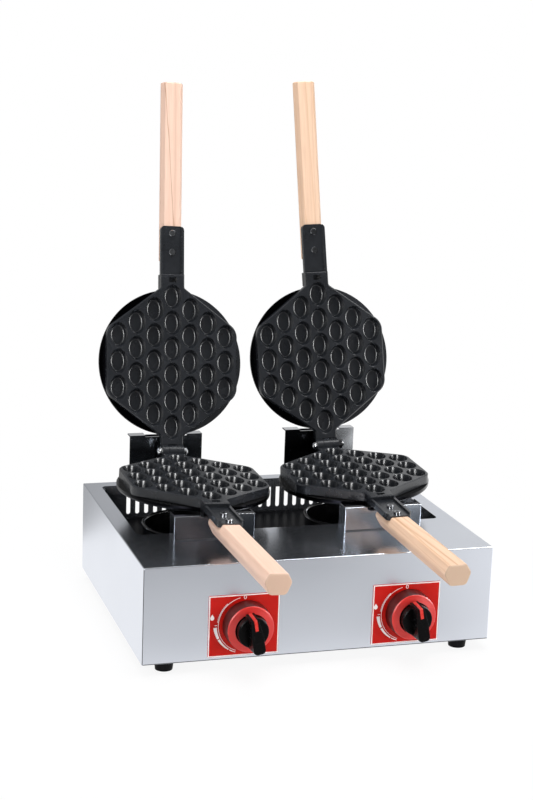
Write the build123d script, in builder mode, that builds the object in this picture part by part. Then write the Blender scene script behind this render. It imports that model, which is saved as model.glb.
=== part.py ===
from build123d import *
import math
import os

os.makedirs("parts", exist_ok=True)

# Two-station gas iron for bubble waffles. Millimetres. +X is to the user's right, -Y is the front with the
# knobs, +Z is up. The origin is on the table, midway between the left and right sides and midway between
# the foremost and rearmost handle ends. "Back" sizes are measured from the casing's front face.

# Forms that meet run this far into each other, and edges are picked within this of a size
overlap = 1.0
match = 0.1

# Casing
casing_width = 500.0
casing_depth = 417.0
casing_height = 135.5
casing_sheet = 1.2
fold_radius = 1.4
opening_side_margin = 24.0
opening_front = 144.0
opening_back_margin = 21.0
opening_corner = 8.0
opening_lip = 14.0
bottom_flange = 16.0
panel_clearance = 0.2
panel_screw_inset = 27.0
slot_count = 26
slot_pitch = 14.3
slot_width = 6.2
slot_length = 37.0
slot_below_deck = 15.5

# Feet
foot_height = 16.0
foot_top_radius = 14.0
foot_bottom_radius = 12.0
foot_side_inset = 36.0
foot_end_inset = 24.0
foot_recess_radius = 6.0
foot_recess_depth = 6.0
foot_screw_radius = 2.5
foot_screw_head = 4.4
foot_screw_head_height = 2.8
foot_nut_across = 8.0
foot_nut_height = 4.0

# Burner tray, collars and burners
tray_rise = 76.0
tray_sheet = 1.2
tray_flange = 14.0
station_spacing = 250.0
collar_back = 239.0
collar_radius = 69.0
collar_wall = 1.6
collar_rim_height = 42.0
collar_bead_radius = 2.8
collar_foot_width = 9.0
tray_hole_radius = 41.0
burner_bowl_radius = 37.0
burner_flange_radius = 47.0
burner_flange_thickness = 3.0
burner_bowl_height = 9.0
burner_bowl_drop = 12.0
burner_wall = 4.0
throat_radius = 18.0
mixing_tube_radius = 11.0
mixing_tube_wall = 2.5
mixing_mouth_radius = 15.0
mixing_mouth_length = 12.0
mixing_tube_start = 72.0
cap_radius = 38.5
cap_height = 7.0
cap_lip = 3.5
cap_slope = 3.5
port_ring_inset = 10.0
port_count = 36
port_radius = 1.2
centre_port_radius = 6.0

# Front plates, bezels and knobs
dial_width = 99.0
dial_height = 86.5
dial_sheet = 1.0
dial_corner = 1.5
dial_spacing = 233.7
dial_shift = 6.3
dial_rise = 47.6
knob_shift = 3.6
knob_lift = 1.0
bezel_base_radius = 33.6
bezel_rim_radius = 32.3
bezel_rim_height = 23.0
bezel_crown_height = 25.5
bezel_recess_radius = 22.6
bezel_edge_radius = 2.0
bezel_floor = 3.0
bezel_hole_radius = 8.0
knob_radius = 21.3
knob_disc_height = 37.0
knob_gap = 0.5
grip_height = 56.0
grip_width = 19.4
grip_head_width = 11.6
grip_tail_round = 7.0
grip_draft = 3.0
grip_edge_radius = 0.8
grip_tail = 25.5
grip_head = 25.4
knob_edge_radius = 1.6
pointer_width = 4.4
pointer_start = 10.0
pointer_depth = 3.0
pointer_proud = 0.8
knob_turn_back = 10.0
knob_press = 3.5
stem_radius = 4.0
stem_depth = 20.4
stem_hole_clearance = 1.5

# Gas path
valve_radius = 14.0
valve_length = 42.0
valve_bore_length = 38.0
plunger_radius = 6.0
plunger_length = 18.0
plunger_start = 14.0
plunger_socket_depth = 8.0
running_clearance = 0.05
valve_neck_radius = 8.5
saddle_length = 32.0
injector_length = 13.0
injector_across = 11.0
injector_tip_radius = 3.0
injector_jet_radius = 0.6
pipe_radius = 8.0
pipe_wall = 1.5
pipe_back = 30.0
pipe_drop = 25.0
pipe_bend_radius = 36.0
pipe_overhang = 24.0
plug_length = 8.0
plug_wall = 1.5
inlet_side_inset = 45.0
inlet_thread_radius = 10.48
inlet_thread_length = 19.0
inlet_hex_across = 27.0
inlet_hex_length = 8.0
inlet_bore_radius = 6.5
inlet_socket_length = 22.0

# Ignition
electrode_radius = 3.5
electrode_height = 34.0
electrode_gap = 3.0
electrode_wire_radius = 0.8
electrode_wire_length = 8.0
electrode_drop = 7.0
lead_radius = 1.6
lead_bend_radius = 12.0

# Brackets on the deck
bracket_sheet = 2.0
front_bracket_width = 116.0
front_bracket_back = 107.0
front_bracket_height = 34.5
front_bracket_flange = 10.0
front_bracket_return = 26.0
notch_play = 1.5
notch_corner = 1.5
rear_bracket_width = 114.0
rear_bracket_back = 398.0
rear_bracket_height = 77.5
rear_bracket_dip = 2.6
rear_tab_width = 24.0
rear_tab_depth = 17.0
rear_guard_width = 60.0
window_width = 35.0
window_corner = 6.0
bracket_foot = 14.0
bracket_screw_spacing = 70.0
bracket_screw_radius = 2.5
bracket_screw_head = 4.6
bracket_screw_head_height = 3.0
bracket_screw_length = 9.0
bracket_screw_chamfer = 1.0
bracket_fold_radius = 1.0
seat_gap = 0.15
window_spare = 1.0

# Mould pairs, each in its own frame: the hinge bolt runs along X, the handle points along -Y and the
# face that meets the other half is at Z = 0
hinge_back = 372.1
hinge_rise = 57.2
mould_shift = 4.0
left_yaw = -0.6
left_lean = 2.47
left_droop = 0.5
left_open_angle = 105.4
right_yaw = -2.0
right_lean = -2.55
right_droop = 0.9
right_open_angle = 102.6
mating_gap = 0.4
hinge_to_lattice = 137.3
cell_columns = [3, 4, 5, 6, 5, 4, 3]
cell_pitch_across = 28.0
cell_pitch_along = 40.1
cell_width = 27.4
cell_length = 37.3
cell_depth = 11.5
cell_draft = 14.0
cell_bottom_radius = 3.0
cell_rim = 0.4
hex_half_width = 102.4
hex_side_half = 51.0
hex_neck_reach = 114.0
hex_corner_radius = 24.0
hex_neck_radius = 4.5
hex_edge = 1.6
hex_depth = 14.5
disc_radius = 112.0
casting_depth = 22.0
disc_edge_radius = 3.5
neck_width = 34.0
tang_width = 36.6
neck_depth = 22.0
neck_step_reach = 135.0
neck_hole_reach = 126.4
neck_hole_width = 12.0
neck_hole_length = 7.5
neck_hole_depth = 8.0
knuckle_gap = 0.7
tang_reach = 210.0
tang_top = 7.0
tang_thickness = 6.0
tang_corner = 7.0
tang_rib_width = 3.6
tang_rib_top = 3.8
knuckle_radius = 9.0
knuckle_width = 12.5
ear_radius = 8.6
ear_gap = 13.1
tail_width = 12.0
tail_top = 1.0
tail_depth = 19.0
tail_root_drop = 5.5
tail_edge_radius = 2.0
tail_reach = 38.0
lift_travel = 11.0

# Hinge bolt and nut
bolt_radius = 4.0
bolt_head_radius = 6.3
bolt_head_height = 7.0
bolt_head_skirt = 3.0
bolt_end_play = 0.15
nut_across = 13.0
nut_height = 6.5
bolt_tip = 2.5

# Handles
handle_reach = 432.6
tongue_reach = 155.0
tongue_sweep = 26.0
tongue_bulge = 5.0
handle_top = 8.8
handle_rise = 1.9
handle_thickness = 27.5
handle_width = 36.3
handle_flat_width = 24.0
handle_far_width = 22.5
handle_widest = 11.0
handle_corner = 2.5
handle_round = 7.0
handle_end_radius = 2.0
handle_fit = 0.1
screw_reach_near = 169.5
screw_reach_far = 198.5
screw_radius = 2.5
screw_length = 18.0
screw_head_radius = 5.2
screw_head_height = 3.2
screw_socket_radius = 2.6
screw_socket_depth = 1.6
screw_head_chamfer = 0.7


def save(piece, label):
    """Label one finished sub-part and write its STEP file."""
    piece.part.label = label
    export_step(piece.part, f"parts/{label}.step")


# Mould half: the casting that both halves share, face up, with its handle tang
lattice_y = -hinge_to_lattice
face_plane = Plane.XY.offset(-mating_gap)
half_neck = neck_width / 2
half_tang = tang_width / 2
rear_neck_reach = hinge_to_lattice - knuckle_radius - knuckle_gap
outline = [
    (-half_tang, lattice_y - neck_step_reach),
    (half_tang, lattice_y - neck_step_reach),
    (half_tang, lattice_y - hex_neck_reach),
    (hex_half_width, lattice_y - hex_side_half),
    (hex_half_width, lattice_y + hex_side_half),
    (half_neck, lattice_y + hex_neck_reach),
    (half_neck, lattice_y + rear_neck_reach),
    (-half_neck, lattice_y + rear_neck_reach),
    (-half_neck, lattice_y + hex_neck_reach),
    (-hex_half_width, lattice_y + hex_side_half),
    (-hex_half_width, lattice_y - hex_side_half),
    (-half_tang, lattice_y - hex_neck_reach),
]

# One cell: a drafted oval pocket with a rounded bottom and a broken rim
with BuildPart() as cell_form:
    with BuildSketch(Plane.XY):
        Ellipse(cell_width / 2, cell_length / 2)
    extrude(amount=-cell_depth, taper=cell_draft)
    fillet(cell_form.faces().sort_by(Axis.Z)[0].edges(), radius=cell_bottom_radius)
    with BuildSketch(Plane.XY):
        Ellipse(cell_width / 2 + cell_rim, cell_length / 2 + cell_rim)
    with BuildSketch(Plane.XY.offset(-cell_rim)):
        Ellipse(cell_width / 2, cell_length / 2)
    loft()

cell_places = []
for column, count in enumerate(cell_columns):
    for row in range(count):
        cell_x = (column - (len(cell_columns) - 1) / 2) * cell_pitch_across
        cell_y = lattice_y + (row - (count - 1) / 2) * cell_pitch_along
        cell_places.append((cell_x, cell_y, -mating_gap))

with BuildPart() as half_casting:
    with BuildSketch(face_plane):
        with BuildLine():
            Polyline(*outline, close=True)
        make_face()
    extrude(amount=-hex_depth)
    side_corners = half_casting.edges().filter_by(Axis.Z).filter_by(
        lambda edge: abs(abs(edge.center().X) - hex_half_width) < match)
    fillet(side_corners, radius=hex_corner_radius)
    neck_corners = half_casting.edges().filter_by(Axis.Z).filter_by(
        lambda edge: abs(abs(edge.center().Y - lattice_y) - hex_neck_reach) < match)
    fillet(neck_corners, radius=hex_neck_radius)
    chamfer(half_casting.faces().sort_by(Axis.Z)[-1].edges(), length=hex_edge)
    with BuildSketch(Plane.XY.offset(-casting_depth)):
        with Locations((0, lattice_y)):
            Circle(disc_radius)
    extrude(amount=casting_depth - mating_gap - hex_depth)
    rims = half_casting.edges().filter_by(GeomType.CIRCLE).filter_by(
        lambda edge: abs(edge.radius - disc_radius) < match)
    fillet(rims.sort_by(Axis.Z)[0], radius=disc_edge_radius)
    block_length = neck_step_reach - hex_neck_reach
    with BuildSketch(Plane.XY.offset(-neck_depth)):
        with Locations((0, lattice_y - neck_step_reach + block_length / 2)):
            Rectangle(tang_width, block_length)
    extrude(amount=neck_depth - mating_gap - hex_edge)
    with BuildSketch(face_plane):
        with Locations((0, lattice_y - neck_hole_reach)):
            Rectangle(neck_hole_width, neck_hole_length)
    extrude(amount=-neck_hole_depth, mode=Mode.SUBTRACT)
    tang_length = tang_reach - neck_step_reach
    tang_middle_y = lattice_y - neck_step_reach - tang_length / 2
    with BuildSketch(Plane.XY.offset(-tang_top - tang_thickness)):
        with Locations((0, tang_middle_y)):
            Rectangle(tang_width, tang_length)
    extrude(amount=tang_thickness + tang_top - tang_rib_top)
    tang_ends = half_casting.edges().filter_by(Axis.Z).group_by(Axis.Y)[0]
    fillet(tang_ends, radius=tang_corner)
    with BuildSketch(Plane.XY.offset(-tang_rib_top)):
        with Locations((0, tang_middle_y)):
            Rectangle(tang_width - 2 * tang_rib_width, tang_length)
    extrude(amount=tang_rib_top - tang_top, mode=Mode.SUBTRACT)
    with BuildSketch(Plane.XY.offset(-tang_top)):
        with Locations((0, lattice_y - screw_reach_near), (0, lattice_y - screw_reach_far)):
            Circle(screw_radius)
    extrude(amount=-tang_thickness, mode=Mode.SUBTRACT)
    with Locations(*cell_places):
        add(cell_form.part, mode=Mode.SUBTRACT)

neck_end_y = lattice_y + rear_neck_reach

# Lower half: the casting with the middle knuckle and the tail that rests in the rear bracket
with BuildPart() as lower_form:
    add(half_casting.part)
    with BuildSketch(Plane.YZ):
        Circle(knuckle_radius)
        with BuildLine():
            Polyline((neck_end_y - overlap, -mating_gap), (0, -mating_gap), (0, -knuckle_radius),
                     (neck_end_y - overlap, -knuckle_radius), close=True)
        make_face()
    extrude(amount=knuckle_width / 2, both=True)
    with BuildSketch(Plane.YZ):
        with BuildLine():
            Polyline((neck_end_y - overlap, -tail_root_drop), (0, -tail_top),
                     (tail_reach, -tail_top), (tail_reach, -tail_depth), (0, -tail_depth),
                     (neck_end_y - overlap, -hex_depth), close=True)
        make_face()
    extrude(amount=tail_width / 2, both=True)
    tail_tip = lower_form.faces().sort_by(Axis.Y)[-1]
    fillet(tail_tip.edges(), radius=tail_edge_radius)
    with BuildSketch(Plane.YZ):
        Circle(bolt_radius)
    extrude(amount=knuckle_width, both=True, mode=Mode.SUBTRACT)

# Upper half: the same casting face down, with a pair of ears round the knuckle
ear_width = (neck_width - ear_gap) / 2
with BuildPart() as upper_form:
    add(mirror(half_casting.part, about=Plane.XY))
    for ear_side in (-1, 1):
        with BuildSketch(Plane.YZ.offset(ear_side * (ear_gap + ear_width) / 2)):
            Circle(ear_radius)
            with BuildLine():
                Polyline((neck_end_y - overlap, mating_gap), (0, mating_gap), (0, ear_radius),
                         (neck_end_y - overlap, ear_radius), close=True)
            make_face()
            Circle(bolt_radius + running_clearance, mode=Mode.SUBTRACT)
        extrude(amount=ear_width / 2, both=True)

# Hinge bolt with a domed head on its left end
head_face = half_neck + bolt_end_play
dome_height = bolt_head_height - bolt_head_skirt


def dome_section(start, outward):
    """Half section of a domed head, from its seat outward along X."""
    skirt_end = start + outward * bolt_head_skirt
    crown = start + outward * bolt_head_height
    dome_radius = (bolt_head_radius ** 2 + dome_height ** 2) / (2 * dome_height)
    half_angle = math.asin(bolt_head_radius / dome_radius) / 2
    shoulder = crown - outward * dome_radius * (1 - math.cos(half_angle))
    shoulder_radius = dome_radius * math.sin(half_angle)
    with BuildSketch(Plane.XY) as section:
        with BuildLine():
            Polyline((crown, 0), (start, 0), (start, bolt_head_radius), (skirt_end, bolt_head_radius))
            ThreePointArc((skirt_end, bolt_head_radius), (shoulder, shoulder_radius), (crown, 0))
        make_face()
    return section.sketch


with BuildPart() as bolt_form:
    with BuildSketch(Plane.XY):
        add(dome_section(-head_face, -1))
    revolve(axis=Axis.X)
    with BuildSketch(Plane.YZ.offset(-head_face)):
        Circle(bolt_radius)
    extrude(amount=head_face * 2 + bolt_head_skirt)

with BuildPart() as long_bolt_form:
    add(bolt_form.part)
    with BuildSketch(Plane.YZ.offset(head_face)):
        Circle(bolt_radius)
    extrude(amount=nut_height + bolt_tip)

with BuildPart() as dome_nut_form:
    with BuildSketch(Plane.XY):
        add(dome_section(head_face, 1))
    revolve(axis=Axis.X)
    with BuildSketch(Plane.YZ.offset(head_face)):
        Circle(bolt_radius)
    extrude(amount=bolt_head_skirt, mode=Mode.SUBTRACT)

with BuildPart() as hex_nut_form:
    with BuildSketch(Plane.YZ.offset(head_face)):
        RegularPolygon(nut_across / 2, 6, major_radius=False)
        Circle(bolt_radius, mode=Mode.SUBTRACT)
    extrude(amount=nut_height)

# Wooden handle of the lower half: six-sided with rounded edges, its tongue under the tang. It starts below
# the tang's floor and rises a little towards the meeting face, so that the two far ends nearly touch.
tongue_y = lattice_y - tongue_reach
rise_angle = math.radians(handle_rise)
handle_length = (handle_reach - tongue_reach) / math.cos(rise_angle)
tongue_drop = handle_top + (tang_reach - tongue_reach) * math.tan(rise_angle)
handle_start = Plane(origin=(0, tongue_y, -tongue_drop), x_dir=(1, 0, 0),
                     z_dir=(0, -math.cos(rise_angle), math.sin(rise_angle)))
with BuildPart() as handle_form:
    with BuildSketch(handle_start) as handle_section:
        with BuildLine():
            Polyline((-handle_flat_width / 2, 0), (handle_flat_width / 2, 0),
                     (handle_width / 2, -handle_widest), (handle_far_width / 2, -handle_thickness),
                     (-handle_far_width / 2, -handle_thickness), (-handle_width / 2, -handle_widest),
                     close=True)
        make_face()
        fillet(handle_section.vertices().group_by(Axis.Y)[:2], radius=handle_round)
        fillet(handle_section.vertices().group_by(Axis.Y)[-1], radius=handle_corner)
    extrude(amount=handle_length)
    fillet(handle_form.faces().sort_by(Axis.Y)[0].edges(), radius=handle_end_radius)
    rebate_length = tang_reach + handle_fit - tongue_reach
    rebate_depth = tang_top + tang_thickness
    tongue_bottom = rebate_depth + handle_thickness
    with BuildSketch(Plane.XY.offset(-rebate_depth)):
        with Locations((0, tongue_y - rebate_length / 2)):
            Rectangle(handle_width * 2, rebate_length)
    extrude(amount=rebate_depth, mode=Mode.SUBTRACT)
    with BuildSketch(Plane.YZ):
        with BuildLine():
            ThreePointArc((tongue_y, -rebate_depth),
                          (tongue_y - tongue_bulge, -(rebate_depth + tongue_bottom) / 2),
                          (tongue_y - tongue_sweep, -tongue_bottom))
            Polyline((tongue_y - tongue_sweep, -tongue_bottom), (tongue_y + overlap, -tongue_bottom),
                     (tongue_y + overlap, -rebate_depth), (tongue_y, -rebate_depth))
        make_face()
    extrude(amount=handle_width, both=True, mode=Mode.SUBTRACT)
    with BuildSketch(Plane.XY.offset(-tang_top - screw_length)):
        with Locations((0, lattice_y - screw_reach_near), (0, lattice_y - screw_reach_far)):
            Circle(screw_radius)
    extrude(amount=screw_length, mode=Mode.SUBTRACT)

with BuildPart() as handle_screw_form:
    screw_places = [(0, lattice_y - screw_reach_near), (0, lattice_y - screw_reach_far)]
    with BuildSketch(Plane.XY.offset(-tang_top)):
        with Locations(*screw_places):
            Circle(screw_head_radius)
    extrude(amount=screw_head_height)
    chamfer(handle_screw_form.faces().group_by(Axis.Z)[-1].edges(), length=screw_head_chamfer)
    with BuildSketch(Plane.XY.offset(-tang_top)):
        with Locations(*screw_places):
            Circle(screw_radius)
    extrude(amount=-screw_length)
    with BuildSketch(Plane.XY.offset(screw_head_height - tang_top)):
        with Locations(*screw_places):
            RegularPolygon(screw_socket_radius, 6)
    extrude(amount=-screw_socket_depth, mode=Mode.SUBTRACT)

upper_handle_form = mirror(handle_form.part, about=Plane.XY)
upper_screw_form = mirror(handle_screw_form.part, about=Plane.XY)

# Stations, with the lean, turn and droop that each mould pair lies at
deck_z = foot_height + casing_height
stations = {
    "left": {"side": -1, "yaw": left_yaw, "lean": left_lean, "droop": left_droop, "open": left_open_angle},
    "right": {"side": 1, "yaw": right_yaw, "lean": right_lean, "droop": right_droop,
              "open": right_open_angle},
}


def station_x(station):
    """Middle of the station's burner and brackets."""
    return station["side"] * station_spacing / 2


def mould_frame(station, casing_front, opened):
    """Frame of a mould half, for a casing front at the given Y; opened is in degrees from shut."""
    hinge = Location((station_x(station) + mould_shift, casing_front + hinge_back, deck_z + hinge_rise))
    turned = hinge * Location((0, 0, 0), (0, 0, station["yaw"]))
    drooped = turned * Location((0, 0, 0), (station["droop"], 0, 0))
    leaned = drooped * Location((0, 0, 0), (0, station["lean"], 0))
    return leaned * Location((0, 0, 0), (-opened, 0, 0))


# The origin lies midway between the foremost and the rearmost handle end
reach_boxes = []
for station in stations.values():
    reach_boxes.append(handle_form.part.moved(mould_frame(station, 0, 0)).bounding_box())
    reach_boxes.append(upper_handle_form.moved(mould_frame(station, 0, station["open"])).bounding_box())
foremost = min(box.min.Y for box in reach_boxes)
rearmost = max(box.max.Y for box in reach_boxes)
front_y = -(foremost + rearmost) / 2
back_y = front_y + casing_depth
for name, station in stations.items():
    station["shut"] = mould_frame(station, front_y, 0)
    station["opened"] = mould_frame(station, front_y, station["open"])
    station["x"] = station_x(station)
    station["dial_x"] = station["side"] * dial_spacing / 2 + dial_shift
    station["knob_x"] = station["dial_x"] + knob_shift
    axis_x = station["shut"].x_axis.direction
    hinge_point = station["shut"].position
    print(name, "hinge", [round(v, 4) for v in hinge_point], "axis", [round(v, 6) for v in axis_x])
dial_z = foot_height + dial_rise
knob_z = dial_z + knob_lift
print("front_y", round(front_y, 4), "knob_z", knob_z)

# Moulds, handles, screws, bolts and nuts at their places
for name, station in stations.items():
    is_left = station["side"] < 0
    placed_forms = {
        "lower_mould": (lower_form.part, "shut"),
        "upper_mould": (upper_form.part, "opened"),
        "lower_handle": (handle_form.part, "shut"),
        "upper_handle": (upper_handle_form, "opened"),
        "lower_handle_screws": (handle_screw_form.part, "shut"),
        "upper_handle_screws": (upper_screw_form, "opened"),
        "hinge_bolt": (bolt_form.part if is_left else long_bolt_form.part, "shut"),
        "hinge_nut": (dome_nut_form.part if is_left else hex_nut_form.part, "shut"),
    }
    for piece_name, (form, frame_name) in placed_forms.items():
        with BuildPart() as placed_piece:
            add(form.moved(station[frame_name]))
        save(placed_piece, f"{name}_{piece_name}")

# Casing shell: front, sides and top folded from one sheet, with the big opening in the top
casing_middle_y = front_y + casing_depth / 2
opening_width = casing_width - 2 * opening_side_margin
opening_length = casing_depth - opening_front - opening_back_margin
opening_y = front_y + opening_front + opening_length / 2
inner_width = casing_width - 2 * casing_sheet
inside_front_y = front_y + casing_sheet
panel_front_y = back_y - casing_sheet
bracket_middles = [station["x"] for station in stations.values()]
knob_middles = [station["knob_x"] for station in stations.values()]
front_foot_y = front_y + front_bracket_back + bracket_sheet + bracket_foot / 2
rear_foot_y = front_y + rear_bracket_back + bracket_sheet + bracket_foot / 2
bracket_screw_places = []
for middle_x in bracket_middles:
    for screw_x in (middle_x - bracket_screw_spacing / 2, middle_x + bracket_screw_spacing / 2):
        bracket_screw_places.append((screw_x, front_foot_y))
        bracket_screw_places.append((screw_x, rear_foot_y))
panel_screw_places = []
for screw_side in (-1, 1):
    for screw_z in (foot_height + panel_screw_inset, deck_z - panel_screw_inset):
        panel_screw_places.append((screw_side * (casing_width - bottom_flange) / 2, screw_z))
foot_places = []
for foot_side in (-1, 1):
    for foot_y in (front_y + foot_end_inset, back_y - foot_end_inset):
        foot_places.append((foot_side * (casing_width / 2 - foot_side_inset), foot_y))

with BuildPart() as casing_shell:
    with BuildSketch(Plane.XY.offset(foot_height)):
        with Locations((0, casing_middle_y)):
            Rectangle(casing_width, casing_depth)
    extrude(amount=casing_height)
    fillet(casing_shell.edges().filter_by(Axis.Z).group_by(Axis.Y)[0], radius=fold_radius)
    top_edges = casing_shell.faces().sort_by(Axis.Z)[-1].edges()
    fillet(top_edges.sort_by(Axis.Y)[:-1], radius=fold_radius)
    with BuildSketch(Plane.XY.offset(foot_height)):
        with Locations((0, casing_middle_y + casing_sheet / 2)):
            Rectangle(inner_width, casing_depth - casing_sheet)
    extrude(amount=casing_height - casing_sheet, mode=Mode.SUBTRACT)
    with BuildSketch(Plane.XY.offset(foot_height)):
        with Locations((0, inside_front_y + bottom_flange / 2)):
            Rectangle(inner_width, bottom_flange)
        for flange_side in (-1, 1):
            flange_length = panel_front_y - inside_front_y
            with Locations((flange_side * (inner_width - bottom_flange) / 2,
                            inside_front_y + flange_length / 2)):
                Rectangle(bottom_flange, flange_length)
        with Locations(*foot_places):
            Circle(foot_top_radius + panel_clearance, mode=Mode.SUBTRACT)
    extrude(amount=casing_sheet)
    with BuildSketch(Plane.XY.offset(foot_height)):
        for flange_side in (-1, 1):
            with Locations((flange_side * (inner_width - bottom_flange) / 2,
                            panel_front_y - casing_sheet / 2)):
                Rectangle(bottom_flange, casing_sheet)
    extrude(amount=casing_height - casing_sheet)
    with BuildSketch(Plane.XY.offset(deck_z - opening_lip)):
        with Locations((0, opening_y)):
            RectangleRounded(opening_width + 2 * casing_sheet, opening_length + 2 * casing_sheet,
                             opening_corner + casing_sheet)
    extrude(amount=opening_lip)
    with BuildSketch(Plane.XY.offset(deck_z)):
        with Locations((0, opening_y)):
            RectangleRounded(opening_width, opening_length, opening_corner)
    extrude(amount=-opening_lip, mode=Mode.SUBTRACT)
    with BuildSketch(Plane.XY.offset(deck_z)):
        with Locations(*bracket_screw_places):
            Circle(bracket_screw_radius)
    extrude(amount=-casing_sheet, mode=Mode.SUBTRACT)
    with BuildSketch(Plane(origin=(0, front_y, 0), x_dir=(1, 0, 0), z_dir=(0, 1, 0))):
        with Locations(*[(knob_x, -knob_z) for knob_x in knob_middles]):
            Circle(stem_radius + stem_hole_clearance)
    extrude(amount=casing_sheet, mode=Mode.SUBTRACT)
    with BuildSketch(Plane(origin=(0, back_y, 0), x_dir=(1, 0, 0), z_dir=(0, -1, 0))):
        with Locations(*panel_screw_places):
            Circle(bracket_screw_radius)
    extrude(amount=2 * casing_sheet, mode=Mode.SUBTRACT)
save(casing_shell, "casing_shell")

# Rear panel with its row of upright slots and the hole for the gas inlet
pipe_z = knob_z - pipe_drop
inlet_x = casing_width / 2 - inlet_side_inset
panel_bottom_z = foot_height + panel_clearance
panel_top_z = deck_z - casing_sheet - panel_clearance
slot_middle_z = deck_z - slot_below_deck - slot_length / 2
rear_plane = Plane(origin=(0, panel_front_y, 0), x_dir=(-1, 0, 0), z_dir=(0, 1, 0))
with BuildPart() as rear_panel:
    with BuildSketch(rear_plane):
        with Locations((0, (panel_bottom_z + panel_top_z) / 2)):
            Rectangle(inner_width - 2 * panel_clearance, panel_top_z - panel_bottom_z)
        with Locations((0, slot_middle_z)):
            with GridLocations(slot_pitch, slot_length, slot_count, 1):
                SlotOverall(slot_length, slot_width, rotation=90, mode=Mode.SUBTRACT)
        with Locations((-inlet_x, pipe_z)):
            Circle(inlet_thread_radius + panel_clearance, mode=Mode.SUBTRACT)
        with Locations(*[(-screw_x, screw_z) for screw_x, screw_z in panel_screw_places]):
            Circle(bracket_screw_radius, mode=Mode.SUBTRACT)
    extrude(amount=casing_sheet)
save(rear_panel, "rear_panel")

# Base plate, resting on the shell's bottom flanges and drilled for the feet
plate_z = foot_height + casing_sheet
plate_front_y = inside_front_y + panel_clearance
plate_back_y = panel_front_y - casing_sheet - panel_clearance
with BuildPart() as base_plate:
    with BuildSketch(Plane.XY.offset(plate_z)):
        with Locations((0, (plate_front_y + plate_back_y) / 2)):
            Rectangle(inner_width - 2 * panel_clearance, plate_back_y - plate_front_y)
        with Locations(*foot_places):
            Circle(foot_screw_radius, mode=Mode.SUBTRACT)
    extrude(amount=casing_sheet)
save(base_plate, "base_plate")

foot_slope = math.degrees(math.atan((foot_top_radius - foot_bottom_radius) / plate_z))
with BuildPart() as rubber_feet:
    with BuildSketch(Plane.XY):
        with Locations(*foot_places):
            Circle(foot_bottom_radius)
    extrude(amount=plate_z, taper=-foot_slope)
    with BuildSketch(Plane.XY):
        with Locations(*foot_places):
            Circle(foot_recess_radius)
    extrude(amount=foot_recess_depth, mode=Mode.SUBTRACT)
    with BuildSketch(Plane.XY):
        with Locations(*foot_places):
            Circle(foot_screw_radius)
    extrude(amount=plate_z, mode=Mode.SUBTRACT)
save(rubber_feet, "rubber_feet")

foot_nut_z = plate_z + casing_sheet
with BuildPart() as foot_screws:
    with BuildSketch(Plane.XY.offset(foot_recess_depth - foot_screw_head_height)):
        with Locations(*foot_places):
            Circle(foot_screw_head)
    extrude(amount=foot_screw_head_height)
    with BuildSketch(Plane.XY.offset(foot_recess_depth)):
        with Locations(*foot_places):
            Circle(foot_screw_radius)
    extrude(amount=foot_nut_z + foot_nut_height + overlap - foot_recess_depth)
save(foot_screws, "foot_screws")

with BuildPart() as foot_nuts:
    with BuildSketch(Plane.XY.offset(foot_nut_z)):
        with Locations(*foot_places):
            RegularPolygon(foot_nut_across / 2, 6, major_radius=False)
            Circle(foot_screw_radius, mode=Mode.SUBTRACT)
    extrude(amount=foot_nut_height)
save(foot_nuts, "foot_nuts")

with BuildPart() as casing_screws:
    with BuildSketch(Plane(origin=(0, back_y, 0), x_dir=(-1, 0, 0), z_dir=(0, 1, 0))):
        with Locations(*[(-screw_x, screw_z) for screw_x, screw_z in panel_screw_places]):
            Circle(bracket_screw_head)
    extrude(amount=bracket_screw_head_height)
    chamfer(casing_screws.faces().group_by(Axis.Y)[-1].edges(), length=bracket_screw_chamfer)
    with BuildSketch(Plane(origin=(0, back_y, 0), x_dir=(-1, 0, 0), z_dir=(0, 1, 0))):
        with Locations(*[(-screw_x, screw_z) for screw_x, screw_z in panel_screw_places]):
            Circle(bracket_screw_radius)
    extrude(amount=-bracket_screw_length)
save(casing_screws, "casing_screws")

# Burner tray: a shelf inside the casing that carries the burners and their collars
tray_z = foot_height + tray_rise
tray_front_y = inside_front_y + panel_clearance
tray_back_y = panel_front_y - casing_sheet - panel_clearance
collar_y = front_y + collar_back
electrode_offset = burner_flange_radius + electrode_gap + electrode_radius
with BuildPart() as burner_tray:
    with BuildSketch(Plane.XY.offset(tray_z - tray_flange)):
        with Locations((0, (tray_front_y + tray_back_y) / 2)):
            Rectangle(inner_width, tray_back_y - tray_front_y)
    extrude(amount=tray_flange)
    with BuildSketch(Plane.XY.offset(tray_z - tray_flange)):
        with Locations((0, (tray_front_y + tray_back_y) / 2)):
            Rectangle(inner_width - 2 * tray_sheet, tray_back_y - tray_front_y)
    extrude(amount=tray_flange - tray_sheet, mode=Mode.SUBTRACT)
    with BuildSketch(Plane.XY.offset(tray_z)):
        for station in stations.values():
            with Locations((station["x"], collar_y)):
                Circle(tray_hole_radius)
            with Locations((station["x"] + electrode_offset, collar_y)):
                Circle(electrode_radius)
    extrude(amount=-tray_sheet, mode=Mode.SUBTRACT)
save(burner_tray, "burner_tray")

# Burner collars: short cylinders with an outturned foot and a rolled bead on the rim
bead_z = tray_z + collar_rim_height
for name, station in stations.items():
    collar_axis = Axis((station["x"], collar_y, 0), (0, 0, 1))
    section_plane = Plane(origin=(station["x"], collar_y, 0), x_dir=(1, 0, 0), z_dir=(0, -1, 0))
    with BuildPart() as burner_collar:
        with BuildSketch(section_plane):
            with Locations((collar_radius, (tray_z + bead_z) / 2)):
                Rectangle(collar_wall, collar_rim_height)
            with Locations((collar_radius + collar_foot_width / 2, tray_z + collar_wall / 2)):
                Rectangle(collar_foot_width, collar_wall)
            with Locations((collar_radius, bead_z)):
                Circle(collar_bead_radius)
        revolve(axis=collar_axis)
    save(burner_collar, f"{name}_burner_collar")

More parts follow.
